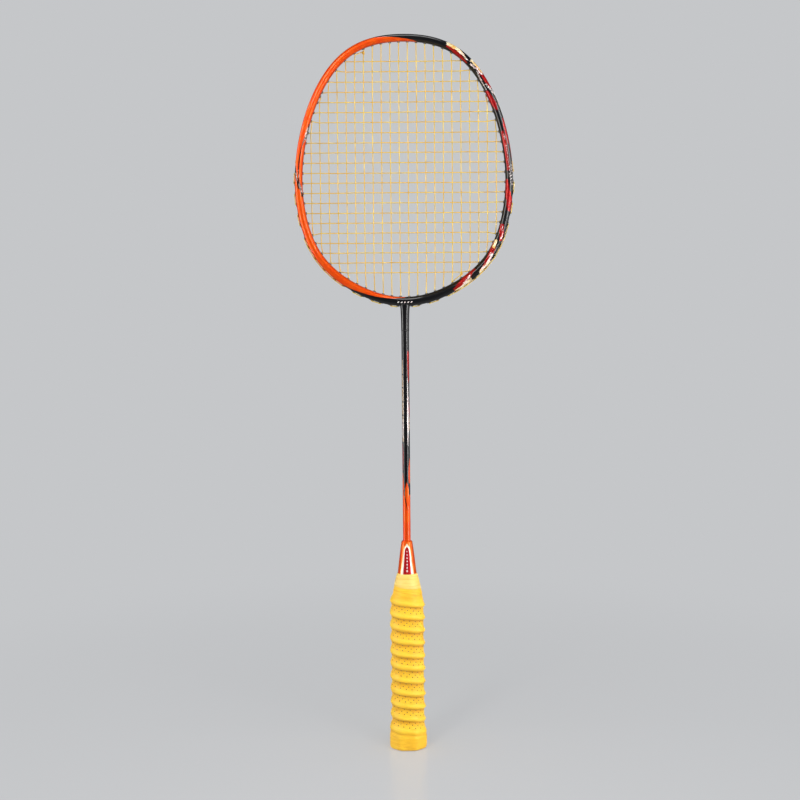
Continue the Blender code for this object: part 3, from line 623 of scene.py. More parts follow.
# ============================================================== painted patches
def patchwork(groups, along, across, across_mm, ragged):
    """Distance in mm inside the nearest of several patches.  groups maps (mm per unit along,
    raggedness of the edge) to rows of (start, end, lower edge, upper edge); an edge is a list
    of places across at equal steps from start to end."""
    patches = []
    for (along_mm, raggedness), rows in groups.items():
        for start, end, low, high in rows:
            t = (along - start) / (end - start)
            below = np.interp(t, np.linspace(0, 1, len(low)), low)
            above = np.interp(t, np.linspace(0, 1, len(high)), high)
            from_sides = np.minimum(across - below, above - across) * across_mm
            from_ends = np.minimum(along - start, end - along) * along_mm
            patches.append(np.minimum(from_sides, from_ends) + ragged * raggedness)
    return np.maximum.reduce(patches)


# ==================================================================== the hoop
# The outer edge is a closed cubic spline of radius against angle
KNOTS = np.array(HEAD_RADII + HEAD_RADII[-2:0:-1])
KNOT_STEP = 2 * math.pi / len(KNOTS)
_eye = np.eye(len(KNOTS))
KNOT_BEND = np.linalg.solve(
    4 * _eye + np.roll(_eye, 1, axis=0) + np.roll(_eye, -1, axis=0),
    6 * (np.roll(KNOTS, -1) - 2 * KNOTS + np.roll(KNOTS, 1)) / KNOT_STEP**2,
)


def outline(phi):
    """Point (x, z) of the head's outer edge, phi clockwise from the top as the front sees it."""
    t = (np.asarray(phi, float) % (2 * math.pi)) / KNOT_STEP
    i = np.floor(t).astype(int) % len(KNOTS)
    j = (i + 1) % len(KNOTS)
    u = t - np.floor(t)
    bend = ((1 - u) ** 3 - (1 - u)) * KNOT_BEND[i] + (u**3 - u) * KNOT_BEND[j]
    radius = (1 - u) * KNOTS[i] + u * KNOTS[j] + KNOT_STEP**2 / 6 * bend
    return np.stack([radius * np.sin(phi), HEAD_Z + radius * np.cos(phi)], -1)


def outward(phi):
    """Unit normal (x, z) of the outer edge."""
    nudge = 1e-4
    run = outline(np.asarray(phi) + nudge) - outline(np.asarray(phi) - nudge)
    run = run / np.linalg.norm(run, axis=-1, keepdims=True)
    return np.stack([-run[..., 1], run[..., 0]], -1)


def hoop_width(phi):
    """Slimmer at the top, wider at the bottom."""
    up = np.cos(phi)
    return HOOP_WIDTH - 0.3 * np.clip(up, 0, 1) ** 4 + 1.3 * np.clip(-up, 0, 1) ** 8


def groove(phi):
    """Depth of the outer groove, which runs out below the head's widest part."""
    from_top = np.degrees(np.arccos(np.cos(phi)))
    return GROOVE_DEPTH * smooth((98 - from_top) / 20)


def beside_hoop(phi, out):
    """3D point at a distance out from the outer edge (negative is inwards)."""
    point = outline(phi) + outward(phi) * out
    return np.array([point[0], 0.0, point[1]])


# Places on the hoop are (degrees from the top, + to the right; place across the front, -1 at
# the inner edge and 1 at the outer).
HOOP_ALONG = 1.95  # mm per degree for the ends of patches
HOOP_ACROSS = HOOP_WIDTH / 2
# outer limit of the orange: degrees, then place across
ORANGE_LIMIT = (
    [-181, -178, -175, -171, -166.5, -160, -150, -140, -40, -24,
     -15, -7, -3, 4.7, 7.5, 10, 170, 176.5, 181],
    [-0.90, -0.80, -0.58, -0.38, -0.10, 0.27, 1.02, 2.0, 2.0, 1.4,
     0.95, 0.30, -0.02, -0.75, -1.15, -4, -4, -1.15, -0.90],
)
# black tongues through the orange where the head is widest on the left
HOOP_LICKS = {
    (HOOP_ALONG, 0.0): [
        (-103, -68, (-1.0, -0.30, -0.12, -0.30, -1.05), (-0.60, -0.02, 0.10, -0.12, -0.75)),
        (-99, -87, (-0.25, 0.30, 0.75), (0.05, 0.65, 1.15)),
        (-72, -64, (-1.3, -1.1, -0.9), (-0.70, -0.62, -0.80)),
    ],
}
HOOP_RED = {
    (HOOP_ALONG, 0.55): [
        (19.5, 31.5, (-0.5, -0.85, -1.0, -0.85), (0.10, 0.05, -0.2, -0.6)),
        (35.5, 47.5, (0.15, 0.0, 0.10, 0.35), (0.95, 0.92, 0.95, 0.85)),
        (47.5, 58.0, (-1.3, -1.3, -0.9, -0.3), (-0.45, 0.10, 0.30, 0.05)),
        (62.5, 76.0, (0.45, 0.25, 0.30, 0.55), (1.3, 0.85, 0.80, 0.75)),
        (76.0, 88.0, (0.75, 0.80, 0.9), (1.4, 1.4, 1.3)),
        (69.0, 90.0, (-0.75, -0.70, -0.65), (-0.05, 0.05, 0.05)),
        (94.5, 111.0, (-1.3, -1.1, -0.6, 0.1), (-0.55, 0.05, 0.95, 1.4)),
        (118.0, 126.0, (-1.0, -0.6, 0.3), (0.0, 0.55, 1.0)),
        (127.5, 143.0, (-1.1, -0.75, -0.3, 0.5), (-0.1, 0.35, 0.75, 1.0)),
        (144.0, 157.5, (-1.4, -1.2, -0.6, 0.3), (-0.6, 0.1, 0.75, 1.2)),
    ],
}
HOOP_GOLD = {
    (HOOP_ALONG, 0.45): [
        (19.3, 30.0, (0.05, 0.0, -0.05, -0.15), (1.3, 1.2, 0.7, 0.15)),
        (32.0, 39.5, (0.2, 0.35, 0.6), (1.3, 1.05, 1.0)),
        (49.0, 59.5, (0.78, 0.85, 0.85), (1.0, 1.3, 1.3)),
        (126.3, 130.5, (-0.9, -0.7), (-0.3, 0.05)),
        (136.5, 143.5, (0.3, 0.5), (0.9, 1.05)),
        (148.0, 157.0, (0.35, 0.55, 0.6), (0.95, 1.2, 1.3)),
    ],
}
HOOP_WHITE = {
    (HOOP_ALONG, 0.0): [
        (33.0, 47.0, (-0.32, -0.25, -0.62, -0.70), (0.0, -0.02, -0.40, -0.45)),
        (44.5, 51.5, (-0.2, 0.35, 0.72), (0.15, 0.75, 1.1)),
        (70.5, 88.5, (-0.30, -0.22, -0.20), (-0.12, -0.04, -0.05)),
    ],
    # flecks in the black tongues on the left
    (HOOP_ALONG, 0.25): [
        (-101, -96.5, (-0.95, -0.55), (-0.70, -0.25)),
        (-95, -90.5, (0.10, 0.55), (0.38, 0.80)),
        (-74, -66, (-1.0, -0.85, -0.9), (-0.72, -0.60, -0.62)),
        (-93, -89, (-0.2, 0.0), (-0.05, 0.12)),
    ],
    (HOOP_ALONG, 0.4): [(36.0, 40.0, (0.0, 0.2), (0.6, 0.55))],
    (HOOP_ALONG, 0.5): [(25.5, 31.0, (0.0, 0.0, -0.35), (0.45, 0.45, 0.0))],
    (HOOP_ALONG, 0.9): [
        (119.0, 125.0, (-0.35, 0.1, 0.4), (-0.1, 0.35, 0.65)),
        (133.0, 142.0, (-0.25, 0.15, 0.5), (0.35, 0.65, 0.9)),
    ],
    (HOOP_ALONG, 1.1): [(147.0, 154.0, (-0.6, -0.1, 0.5), (-0.25, 0.35, 0.85))],
}
# a patch filled with fine white streaks
HOOP_STREAKED = {(HOOP_ALONG, 0.5): [(86.5, 97.5, (-0.4, -0.1, 0.2), (0.75, 0.95, 1.2))]}


def bottom_dashes(degrees, across):
    """A short row of slanting dashes at the bottom, above the shaft."""
    pitch, slant, middle = 3.2, 3.4, 0.12
    run = ((degrees + 360.0) % 360.0 - 180.0) * 2.18
    lean = (run - slant * (across - middle) + pitch / 2) % pitch - pitch / 2
    height = (0.19 - np.abs(across - middle)) * 4.9
    return np.minimum(np.minimum(0.78 - np.abs(lean), height), 8.0 - np.abs(run))


def paint_hoop(degrees, across, run):
    """Distance in mm inside each colour; run is mm round the hoop."""
    ragged = fbm2(run / 7.0, across * 3.2, seed=3) * 0.9
    ragged = ragged + fbm2(run / 2.2, across * 6.0, seed=9) * 0.35

    def patches(groups):
        return patchwork(groups, degrees, across, HOOP_ACROSS, ragged)

    orange = (np.interp(degrees, *ORANGE_LIMIT) - across) * 3.6
    orange = np.minimum(orange, -patches(HOOP_LICKS) - 0.15)
    streaks = np.sin(run * 2.1 + across * 5) * 0.35 - 0.12
    white = np.maximum(patches(HOOP_WHITE), np.minimum(patches(HOOP_STREAKED), streaks))
    white = np.maximum(white, bottom_dashes(degrees, across) * 4.0)
    return {
        "orange": orange, "red": patches(HOOP_RED), "gold": patches(HOOP_GOLD), "white": white
    }


def make_hoop(material):
    stations = 960
    phi = np.pi * 2 * (np.arange(stations) + 0.5) / stations
    # section angles from the outer edge, closer together across the groove
    groove_side = np.linspace(-0.62, 0.62, 27)[:-1]
    rest = np.linspace(0.62, 2 * math.pi - 0.62, 45)[:-1]
    section = np.concatenate([groove_side, rest])
    across = signed_power(np.cos(section), 2 / HOOP_SQUARENESS)
    y = signed_power(np.sin(section), 2 / HOOP_SQUARENESS) * HALF_Y
    # a soft shoulder runs round the front and back faces, nearer the inner side
    y = y + bell(across + 0.28, 0.30) * np.sign(np.sin(section)) * 0.16
    half_width = hoop_width(phi)[:, None] / 2
    groove_shape = smooth((2.95 - np.abs(y)) / 0.75) * (across > 0)
    out = across * half_width - half_width - groove(phi)[:, None] * groove_shape
    edge = outline(phi)
    flat = edge[:, None, :] + outward(phi)[:, None, :] * out[..., None]
    rings = np.stack([flat[..., 0], np.broadcast_to(y, out.shape), flat[..., 1]], -1)
    run = distance_along(closed(edge))
    degrees = np.degrees(np.where(phi > np.pi, phi - 2 * np.pi, phi))
    paint = paint_hoop(degrees[:, None], across[None, :], run[:-1, None])
    uv = grid_uv(run, distance_along(closed(rings[0])))
    return add_rings("hoop_frame", rings, material, paint, uv)


# ============================================================== string pattern
# The right half of the hoop, finely sampled from the top to the bottom
SIDE_PHI = np.linspace(0, math.pi, 60001)
INNER_EDGE = outline(SIDE_PHI) - outward(SIDE_PHI) * hoop_width(SIDE_PHI)[:, None]
SIDE_ARC = distance_along(
    outline(SIDE_PHI) - outward(SIDE_PHI) * hoop_width(SIDE_PHI)[:, None] / 2
)
WIDEST = int(np.argmax(INNER_EDGE[:, 0]))
MAIN_X = [MAIN_PITCH * (i + 0.5) for i in range(MAINS_HALF)]
CROSS_Z = [CROSS_TOP_Z - CROSS_PITCH * j for j in range(CROSSES)]


def nearest_phi(low, high, axis, value):
    """Angle where the inner edge comes nearest to an x (axis 0) or z (axis 1)."""
    return float(SIDE_PHI[low + int(np.argmin(abs(INNER_EDGE[low:high, axis] - value)))])


def place_holes():
    """Angles of the right side's holes, and the hole of each string end.  An end is
    ("top" or "bottom", main) or ("cross", cross)."""
    ends = {}
    for i, x in enumerate(MAIN_X):
        ends["top", i] = nearest_phi(0, WIDEST, 0, x)
        ends["bottom", i] = nearest_phi(WIDEST, len(SIDE_PHI), 0, x)
    for j, z in enumerate(CROSS_Z):
        ends["cross", j] = nearest_phi(0, len(SIDE_PHI), 1, z)
    holes = []  # (angle, ends in it, distance round the hoop)
    for end in sorted(ends, key=ends.get):
        arc = float(np.interp(ends[end], SIDE_PHI, SIDE_ARC))
        if holes and arc - holes[-1][2] < SHARED_HOLE and holes[-1][1][0][0] != end[0]:
            members = holes[-1][1] + [end]
            arcs = [float(np.interp(ends[k], SIDE_PHI, SIDE_ARC)) for k in members]
            arc = sum(arcs) / len(arcs)
            holes[-1] = (float(np.interp(arc, SIDE_ARC, SIDE_PHI)), members, arc)
        else:
            holes.append((ends[end], [end], arc))
    hole_of = {end: n for n, hole in enumerate(holes) for end in hole[1]}
    return [hole[0] for hole in holes], hole_of


HOLE_PHI, HOLE_OF = place_holes()
LAST_HOLE = len(HOLE_PHI) - 1


def hole_line(n, side):
    """(inner mouth of the hole, its outer mouth, direction outwards); side is 1 or -1."""
    phi = HOLE_PHI[n]
    inner = beside_hoop(phi, -float(hoop_width(phi)))
    outer = beside_hoop(phi, -float(groove(phi)))
    if n == LAST_HOLE:
        outer = outer + LAST_HOLE_LEAN
    direction = (outer - inner) / np.linalg.norm(outer - inner)
    flip = np.array([side, 1, 1])
    return inner * flip, outer * flip, direction * flip


def crossing_ok(i, j):
    """Whether main i and cross j meet clear of the hoop."""
    if HOLE_OF["cross", j] in (HOLE_OF["top", i], HOLE_OF["bottom", i]):
        return False
    gap = np.hypot(INNER_EDGE[:, 0] - MAIN_X[i], INNER_EDGE[:, 1] - CROSS_Z[j])
    k = int(np.argmin(gap))
    inset = INNER_EDGE[k] - np.array([MAIN_X[i], CROSS_Z[j]])
    return float(inset @ outward(SIDE_PHI[k])) > 1.8


def outside_hole(n, side, lane):
    """Centre of a string riding over a hole's outer mouth."""
    _, outer, direction = hole_line(n, side)
    return outer + direction * RIDE + np.array([0.0, lane, 0.0])


def through(end, side, lane, outwards):
    n = HOLE_OF[end]
    inner, _, direction = hole_line(n, side)
    lift = np.array([0.0, lane, 0.0])
    inside = inner - direction * (GROMMET_TIP + 0.25) + lift
    points = [inside, inner + lift, outside_hole(n, side, lane)]
    return points if outwards else points[::-1]


def outer_run(start, finish, side, lane):
    """Points of an outside run strictly between two ends' holes, held off the hoop."""
    first, last = HOLE_OF[start], HOLE_OF[finish]
    step = 1 if last > first else -1
    points = []
    for k in range(first, last, step):
        if k != first:
            points.append(outside_hole(k, side, lane))
        if LAST_HOLE in (k, k + step):
            continue
        phi = (HOLE_PHI[k] + HOLE_PHI[k + step]) / 2
        out = -float(groove(phi)) + RIDE - 0.25
        point = beside_hoop(phi, out) * np.array([side, 1, 1])
        points.append(point + np.array([0.0, lane, 0.0]))
    return points


def cross_behind(i, side, j):
    """1 where cross j passes behind main i of a side, else 0."""
    column = MAINS_HALF + i if side > 0 else MAINS_HALF - 1 - i
    return (column + j) % 2


def bowed_x(i, side, z):
    """Mains spread a hair in the middle of the head."""
    return side * MAIN_X[i] * (1 + 0.009 * math.cos((z - 545.0) / 130.0 * math.pi / 2))


def weave_y(place, crossings, depths):
    """Depth of a string between the crossings it swings over and under."""
    k = int(np.clip(np.searchsorted(crossings, place) - 1, 0, len(crossings) - 2))
    t = np.clip((place - crossings[k]) / (crossings[k + 1] - crossings[k]), 0, 1)
    return depths[k] + (depths[k + 1] - depths[k]) * (1 - math.cos(math.pi * t)) / 2


def end_fade(place, start, end):
    """0 at a string's ends, 1 from 18 mm in."""
    return float(smooth(min(place - start, end - place) / 18.0))


def main_run(i, side):
    """Main i of a side, from the bottom to the top."""
    met = [j for j in reversed(range(CROSSES)) if crossing_ok(i, j)]
    crossings = [CROSS_Z[j] for j in met]
    depths = [-MAIN_SWING if cross_behind(i, side, j) else MAIN_SWING for j in met]
    start = through(("bottom", i), side, -LANE, False)
    finish = through(("top", i), side, -LANE, True)
    points = []
    for z in np.arange(crossings[0] - 1.0, crossings[-1] + 1.01, WEAVE_STEP):
        wander = 0.10 * float(noise2(z / 26.0, i * 7.3 + side * 3.1, seed=5))
        x = bowed_x(i, side, z) + wander * end_fade(z, start[-1][2], finish[0][2])
        points.append(np.array([x, weave_y(z, crossings, depths), z]))
    return start + points + finish


def half_mains(side):
    """All the mains of a side, from the middle outwards."""
    points = []
    for i in range(MAINS_HALF):
        run = main_run(i, side)
        points += run[::-1] if i % 2 == 0 else run
        if i + 1 < MAINS_HALF:
            end = "bottom" if i % 2 == 0 else "top"
            points += outer_run((end, i), (end, i + 1), side, -LANE)
    return points


def cross_run(j):
    """Cross j from left to right."""
    woven = []
    for side in (-1, 1):
        for i in range(MAINS_HALF):
            if crossing_ok(i, j):
                depth = CROSS_SWING if cross_behind(i, side, j) else -CROSS_SWING
                woven.append((bowed_x(i, side, CROSS_Z[j]), depth))
    woven.sort()
    crossings, depths = zip(*woven)
    start = through(("cross", j), -1, LANE, False)
    finish = through(("cross", j), 1, LANE, True)
    left, right = start[-1][0], finish[0][0]
    sag = 0.35 * float(noise2(j * 3.7, 1.5, seed=21))
    points = []
    for x in np.arange(crossings[0] - 0.5, crossings[-1] + 0.51, WEAVE_STEP):
        wander = 0.12 * float(noise2(x / 21.0, j * 5.1, seed=8)) * end_fade(x, left, right)
        wander = sag * math.sin(math.pi * (x - left) / (right - left)) + wander
        points.append(np.array([x, weave_y(x, crossings, depths), CROSS_Z[j] + wander]))
    return start + points + finish


def knot(i, side, z, up, entry):
    """A tied end: from entry, close turns round main i, and a short cut end."""
    x = bowed_x(i, side, z)
    points = [entry]
    turns, radius, count = 2.6, STRING_R * 2 + 0.02, 34
    start = math.atan2(entry[1], entry[0] - x)
    for k in range(count):
        t = k / (count - 1)
        angle = start + 2 * math.pi * turns * t
        across, depth = radius * math.cos(angle), radius * math.sin(angle)
        points.append(np.array([x + across, depth, z + up * (t * 2.1 - 0.2)]))
    # under the last turn and out: (further angle, added radius in x, in y, rise)
    for more, wider, deeper, rise in (
        (0.7, 0.55, 0.55, 1.0), (0.5, 1.4, 0.7, 0.2), (0.0, 2.7, 0.4, -0.9)
    ):
        angle += more
        across = (radius + wider) * math.cos(angle)
        depth = (radius + deeper) * math.sin(angle)
        points.append(np.array([x + across, depth, z + up * rise]))
    return points


def grommet_tip(end, side):
    inner, _, direction = hole_line(HOLE_OF[end], side)
    return inner - direction * GROMMET_TIP


def laced():
    """Paths of the mains and of the crosses, which follow on from them."""
    last = ("bottom", MAINS_HALF - 1)
    low_tie, high_tie = ("bottom", 5), ("top", 5)
    tail = through(low_tie, 1, LANE, True)
    knot_z = float(grommet_tip(("bottom", 6), 1)[2]) + 2.2
    tied = knot(6, 1, knot_z, 1, tail[0] + np.array([0.6, -0.2, 0.4]))
    mains = tied[::-1] + tail + outer_run(low_tie, last, 1, SIDE_LANE)
    mains += half_mains(1)[::-1] + half_mains(-1)
    mains += outer_run(last, ("cross", CROSSES - 1), -1, SIDE_LANE)
    crosses = [mains[-1]]
    for j in range(CROSSES - 1, -1, -1):
        to_right = j % 2 == 1
        crosses += cross_run(j) if to_right else cross_run(j)[::-1]
        if j:
            side = 1 if to_right else -1
            crosses += outer_run(("cross", j), ("cross", j - 1), side, LANE)
    crosses += outer_run(("cross", 0), high_tie, -1, LANE)
    crosses += through(high_tie, -1, LANE, False)
    knot_z = float(grommet_tip(("top", 4), -1)[2]) - 2.4
    crosses += knot(4, -1, knot_z, -1, crosses[-1] + np.array([0.6, -0.2, -0.2]))
    return {"string_mains": mains, "string_crosses": crosses}


def make_strings(material):
    made = []
    for name, points in laced().items():
        apart = [points[0]]
        for point in points[1:]:
            if np.linalg.norm(point - apart[-1]) > 0.05:
                apart.append(point)
        path = resample(round_corners(apart, radius=0.75, steps=5), step=1.3)
        verts, faces, uvs = tube(path, STRING_R, sides=8)
        made.append(add_mesh(name, verts, faces, material, uv=uvs))
    return made


# ==================================================================== grommets
GROMMET_SIDES = 22
GROMMETS_PER_PIECE = 4


def grommet_rings(n, side):
    """A tube through a hole, with a round flange outside and a rounded tip inside."""
    inner, outer, direction = hole_line(n, side)
    base = inner - direction * GROMMET_TIP
    length = float(np.linalg.norm(outer - base))
    # (distance from the tip, radius): up the outside, round the flange, down the bore
    profile = np.array([
        (0.02, 0.98), (-0.02, 1.10), (0.06, 1.22), (0.28, 1.31), (1.2, 1.36),
        (length * 0.6, 1.40), (length - 0.05, 1.42), (length + 0.02, 1.90),
        (length + 0.10, 2.02), (length + 0.22, 2.04), (length + 0.33, 1.92),
        (length + 0.38, 1.60), (length + 0.38, 1.25), (length + 0.30, 1.05),
        (length * 0.7, 1.0), (0.5, 0.98),
    ])
    depth = np.array([0.0, 1.0, 0.0])
    sideways = np.cross(direction, depth)
    sideways /= np.linalg.norm(sideways)
    theta = full_turn(GROMMET_SIDES)[:, None]
    spokes = depth[None] * np.cos(theta) + sideways[None] * np.sin(theta)
    return (
        base[None, None]
        + direction[None, None] * profile[None, :, 0, None]
        + spokes[:, None] * profile[None, :, 1, None]
    )


def make_grommets(material):
    """(object, CAD piece it replaces) for every strip of grommets."""
    made = []
    for side, word in ((1, "right"), (-1, "left")):
        for g, first in enumerate(range(0, len(HOLE_PHI), GROMMETS_PER_PIECE)):
            group = range(first, min(first + GROMMETS_PER_PIECE, len(HOLE_PHI)))
            rings = np.array([grommet_rings(n, side) for n in group])
            levels = rings.shape[2]
            quads = grid_faces(GROMMET_SIDES, levels)
            quads = np.concatenate(
                [quads + k * GROMMET_SIDES * levels for k in range(len(rings))]
            )
            ob = add_mesh(
                f"grommets_single_{word}_{g + 1}", rings.reshape(-1, 3), [quads], material,
                uv=[np.zeros((len(quads), 4, 2))],
            )
            made.append((ob, f"grommets_{word}_{g + 1}"))
    return made


# ====================================================================== throat
def make_throat(material):
    """The flared collar between the shaft and the hoop."""
    sides, levels = 72, 34
    theta = full_turn(sides)
    foot = THROAT_LO[2]
    half_width = float(hoop_width(math.pi)) / 2
    # a fine rolled bead at the foot
    rings = [ring(theta, r, r, z) for r, z in ((3.64, foot), (3.72, foot), (3.80, foot + 0.18))]
    for k in range(levels):
        t = k / (levels - 1)
        flare = t**2.2
        power = 2 / (2.0 + 0.25 * flare)
        x_radius = 3.74 + 0.72 * flare + 0.18 * smooth((t - 0.85) / 0.15)
        x = x_radius * signed_power(np.cos(theta), power)
        y = (3.74 + 1.30 * flare) * signed_power(np.sin(theta), power)
        # the top edge follows the hoop's rounded underside
        share = np.clip(np.abs(y) / HALF_Y, 0, 0.999)
        drop = half_width * (1 - (1 - share**HOOP_SQUARENESS) ** (1 / HOOP_SQUARENESS))
        top = HOOP_LO[2] + x * x / 256.0 + drop + 0.12
        rings.append(np.stack([x, y, foot + (top - foot) * t], -1))
    # the top of the bore
    rings.append(ring(theta, 3.62, 3.62, rings[-1][:, 2] - 0.2))
    rings = np.array(rings)
    unpainted = {"orange": np.full(rings.shape[:2], -5.0)}
    uv = grid_uv(np.arange(len(rings) + 1) * 0.8, np.arange(sides + 1) * 0.33)
    return add_rings("throat_collar", rings, material, unpainted, uv)


# ======================================================================= shaft
# Leaves drawn up from the orange foot: centre in degrees, low z, top z, half width in degrees,
# share of the height before it tapers, bluntness of the tip
SHAFT_LEAVES = (
    (7, 243.0, 257.6, 33, 0.30, 0.85), (-72, 243.0, 267.0, 30, 0.42, 0.5),
    (60, 257.5, 281.0, 27, 0.25, 0.8), (128, 243.0, 262.0, 26, 0.42, 0.5),
    (-165, 243.0, 274.0, 28, 0.42, 0.5), (-118, 262.0, 284.0, 12, 0.42, 0.5),
    (172, 268.0, 292.0, 12, 0.42, 0.5),
)
# Patches for patchwork: z from and to, left edge and right edge in degrees from the front
SHAFT_RED = {
    (0.25, 0.6): [
        (352.0, 382.0, (48, 30, 24, 30), (52, 84, 96, 60)),
        (318.0, 334.0, (50, 42, 52), (60, 92, 70)),
        (268.0, 294.0, (-78, -92, -92, -80), (-60, -44, -40, -58)),
        (255.0, 285.0, (-150, -140, -130), (-120, -100, -110)),
        (345.0, 376.0, (-170, -178, -172), (-140, -128, -150)),
        (300.0, 326.0, (120, 112, 126), (150, 160, 146)),
    ],
}
SHAFT_GOLD = {
    (0.6, 0.0): [(296.0, 373.5, (-66, -70, -70, -66), (-40, -38, -38, -46))],
    (0.25, 0.0): [
        (306.0, 320.0, (46, 44, 52), (62, 76, 66)),
        (330.0, 366.0, (150, 146, 152), (174, 176, 168)),
    ],
}
GOLD_BREAKS_Z = (360.0, 347.5, 334.0, 321.5, 314.0, 305.5)
SHAFT_WHITE = {
    (0.4, 0.25): [(292.0, 356.0, (24, 22, 20, 24, 30), (34, 46, 48, 44, 34))],
    (0.5, 0.0): [
        (300.0, 318.0, (-62, -64, -60), (-46, -42, -48)),
        (308.0, 350.0, (-176, -170, -168), (-160, -152, -156)),
    ],
}


def shaft_orange(degrees, z, arc, wobble):
    """Orange at the foot, with leaves above it and two black darts curling down through it."""

    def turned(centre):
        return np.abs((degrees - centre + 180) % 360 - 180)

    shapes = [(245.5 - z) * 0.6 + wobble * 0.8]
    for centre, low, top, half, fat, blunt in SHAFT_LEAVES:
        t = np.clip((z - low) / (top - low), 0, 1)
        taper = np.clip(1 - (np.maximum(t - fat, 0) / (1 - fat)) ** 1.6, 0, 1) ** blunt
        width = half * np.where(t < fat, 0.72 + 0.28 * smooth(t / fat), taper)
        leaf = np.minimum((width - turned(centre)) * arc, (top - z) * 0.5)
        shapes.append(np.minimum(leaf, (z - low) + 1.0))
    orange = np.maximum.reduce(shapes)
    for facing in (0, 176):
        middle = np.interp(z, [230.0, 234.0, 240.0, 248.0], [15, 4, -16, -42]) + facing
        width = np.interp(z, [229.8, 231.5, 237.0, 248.0], [0.0, 0.16, 0.36, 0.55])
        length = np.minimum(z - 229.8, 250.0 - z) * 0.5
        dart = np.minimum(width - turned(middle) * arc, length)
        orange = np.minimum(orange, -dart * 2 - 0.1)
    return orange


def paint_shaft(degrees, z):
    """Distance in mm inside each colour; degrees from the front, + to the right."""
    arc = math.radians(1) * SHAFT_R  # mm per degree
    wobble = fbm2(z / 9.0, degrees / 16.0, seed=31) * 0.55
    orange = shaft_orange(degrees, z, arc, wobble)
    red, gold, white = (
        patchwork(groups, z, degrees, arc, wobble)
        for groups in (SHAFT_RED, SHAFT_GOLD, SHAFT_WHITE)
    )
    for break_z in GOLD_BREAKS_Z:
        gold = np.minimum(gold, np.abs(z - break_z) - 0.55)
    return {"orange": orange, "red": red, "gold": gold, "white": white}


def make_shaft(material):
    sides = 96
    low, high = SHAFT_LO[2], SHAFT_HI[2]
    z_out = np.concatenate(
        [[low, low + 0.25], np.arange(low + 1.0, high - 0.6, 0.9), [high - 0.25, high]]
    )
    r_out = np.full(len(z_out), SHAFT_R)
    r_out[0] = r_out[-1] = SHAFT_R - 0.2
    bore = [(2.65, high), (2.6, high - 0.3), (2.6, low + 0.3), (2.65, low)]
    profile = np.array(list(zip(r_out, z_out)) + bore)
    rings = revolve(profile, sides)
    degrees = np.degrees(np.arctan2(rings[..., 0], -rings[..., 1]))
    paint = paint_shaft(degrees, rings[..., 2])
    around = np.arange(sides + 1) / sides * 2 * np.pi * SHAFT_R
    uv = grid_uv(around, closed(profile[:, 1]))[..., ::-1]
    return add_rings("shaft_tube", rings, material, paint, uv, angle=50)


# ======================================================================== cone
# z, then radius
CONE_PROFILE = (
    [146.0, 157.0, 163.0, 170.0, 176.0, 182.0, 190.0, 196.0, 199.2, 200.4, 201.0],
    [10.7, 10.3, 9.65, 8.92, 8.28, 7.62, 6.62, 5.82, 5.36, 5.12, 4.75],
)


def paint_cone(x, z):
    """A tapering panel, pointed at the top, on the front and on the back."""
    x = np.abs(x)
    white_half = np.interp(
        z, [160.0, 170.0, 181.0, 193.0, 195.8, 198.3], [8.0, 6.05, 4.25, 2.85, 2.0, 0.2]
    )
    red_half = np.interp(
        z, [160.0, 170.0, 181.0, 192.0, 194.4, 196.3], [4.2, 3.85, 3.05, 2.2, 1.5, 0.1]
    )
    # a row of lozenges up the panel
    lozenges = np.full_like(x, -5.0)
    for k in range(7):
        lozenge = 0.86 - 0.055 * k - x - np.abs(z - (173.4 + 3.05 * k)) * 0.66
        lozenges = np.maximum(lozenges, lozenge)
    return {
        "orange": np.full_like(x, 4.0),
        "gold": np.minimum(white_half + 0.62 - x, 199.0 - z),  # thin line beside the white
        "white": np.minimum(white_half - x, 198.3 - z),
        "red": np.minimum(red_half - x, 196.3 - z),
        "mark": lozenges,
    }


def make_cone(material):
    sides = 192
    foot = CONE_LO[2]
    z_out = np.concatenate(
        [np.linspace(foot, 199.0, 96), [199.6, 200.0, 200.4, 200.7, 200.9, 201.0]]
    )
    # over the top and down the inside
    profile = list(zip(np.interp(z_out, *CONE_PROFILE), z_out)) + [
        (4.4, 201.0), (3.9, 200.8), (3.74, 200.2), (3.72, 190.0), (6.2, 178.0),
        (7.75, 164.5), (7.95, 147.2), (9.6, foot),
    ]
    rings = revolve(profile, sides)
    paint = paint_cone(rings[..., 0], rings[..., 2])
    uv = grid_uv(np.arange(sides + 1) * 0.3, np.arange(len(profile) + 1) * 0.4)[..., ::-1]
    return add_rings("cone_shell", rings, material, paint, uv, angle=50)


# ======================================================================== grip
# z, then how sharp the corners of the eight-sided section are
GRIP_POWER = ([0, 14, 22, 30, 140, 157], [16, 16, 11, 9.0, 8.5, 6.0])
# z, half width in x, half width in y
GRIP_Z = [0.0, 12.3, 17.0, 21.3, 26.0, 138.0, 143.5, 150.0, 157.0, 163.0, 169.4]
GRIP_HALF_X = [17.72, 17.72, 17.0, 15.9, 15.42, 15.42, 15.30, 14.35, 13.15, 12.1, 10.35]
GRIP_HALF_Y = [16.10, 16.10, 15.4, 14.3, 13.80, 13.80, 13.75, 13.20, 12.45, 11.7, 10.30]
TAPE_Z = [154.6, 157.0, 160.0, 163.0, 166.0, 168.5, 169.6, 170.1]
TAPE_HALF_X = [13.72, 13.25, 12.72, 12.18, 11.42, 10.75, 10.42, 10.2]
TAPE_HALF_Y = [13.05, 12.72, 12.30, 11.90, 11.25, 10.68, 10.40, 10.2]


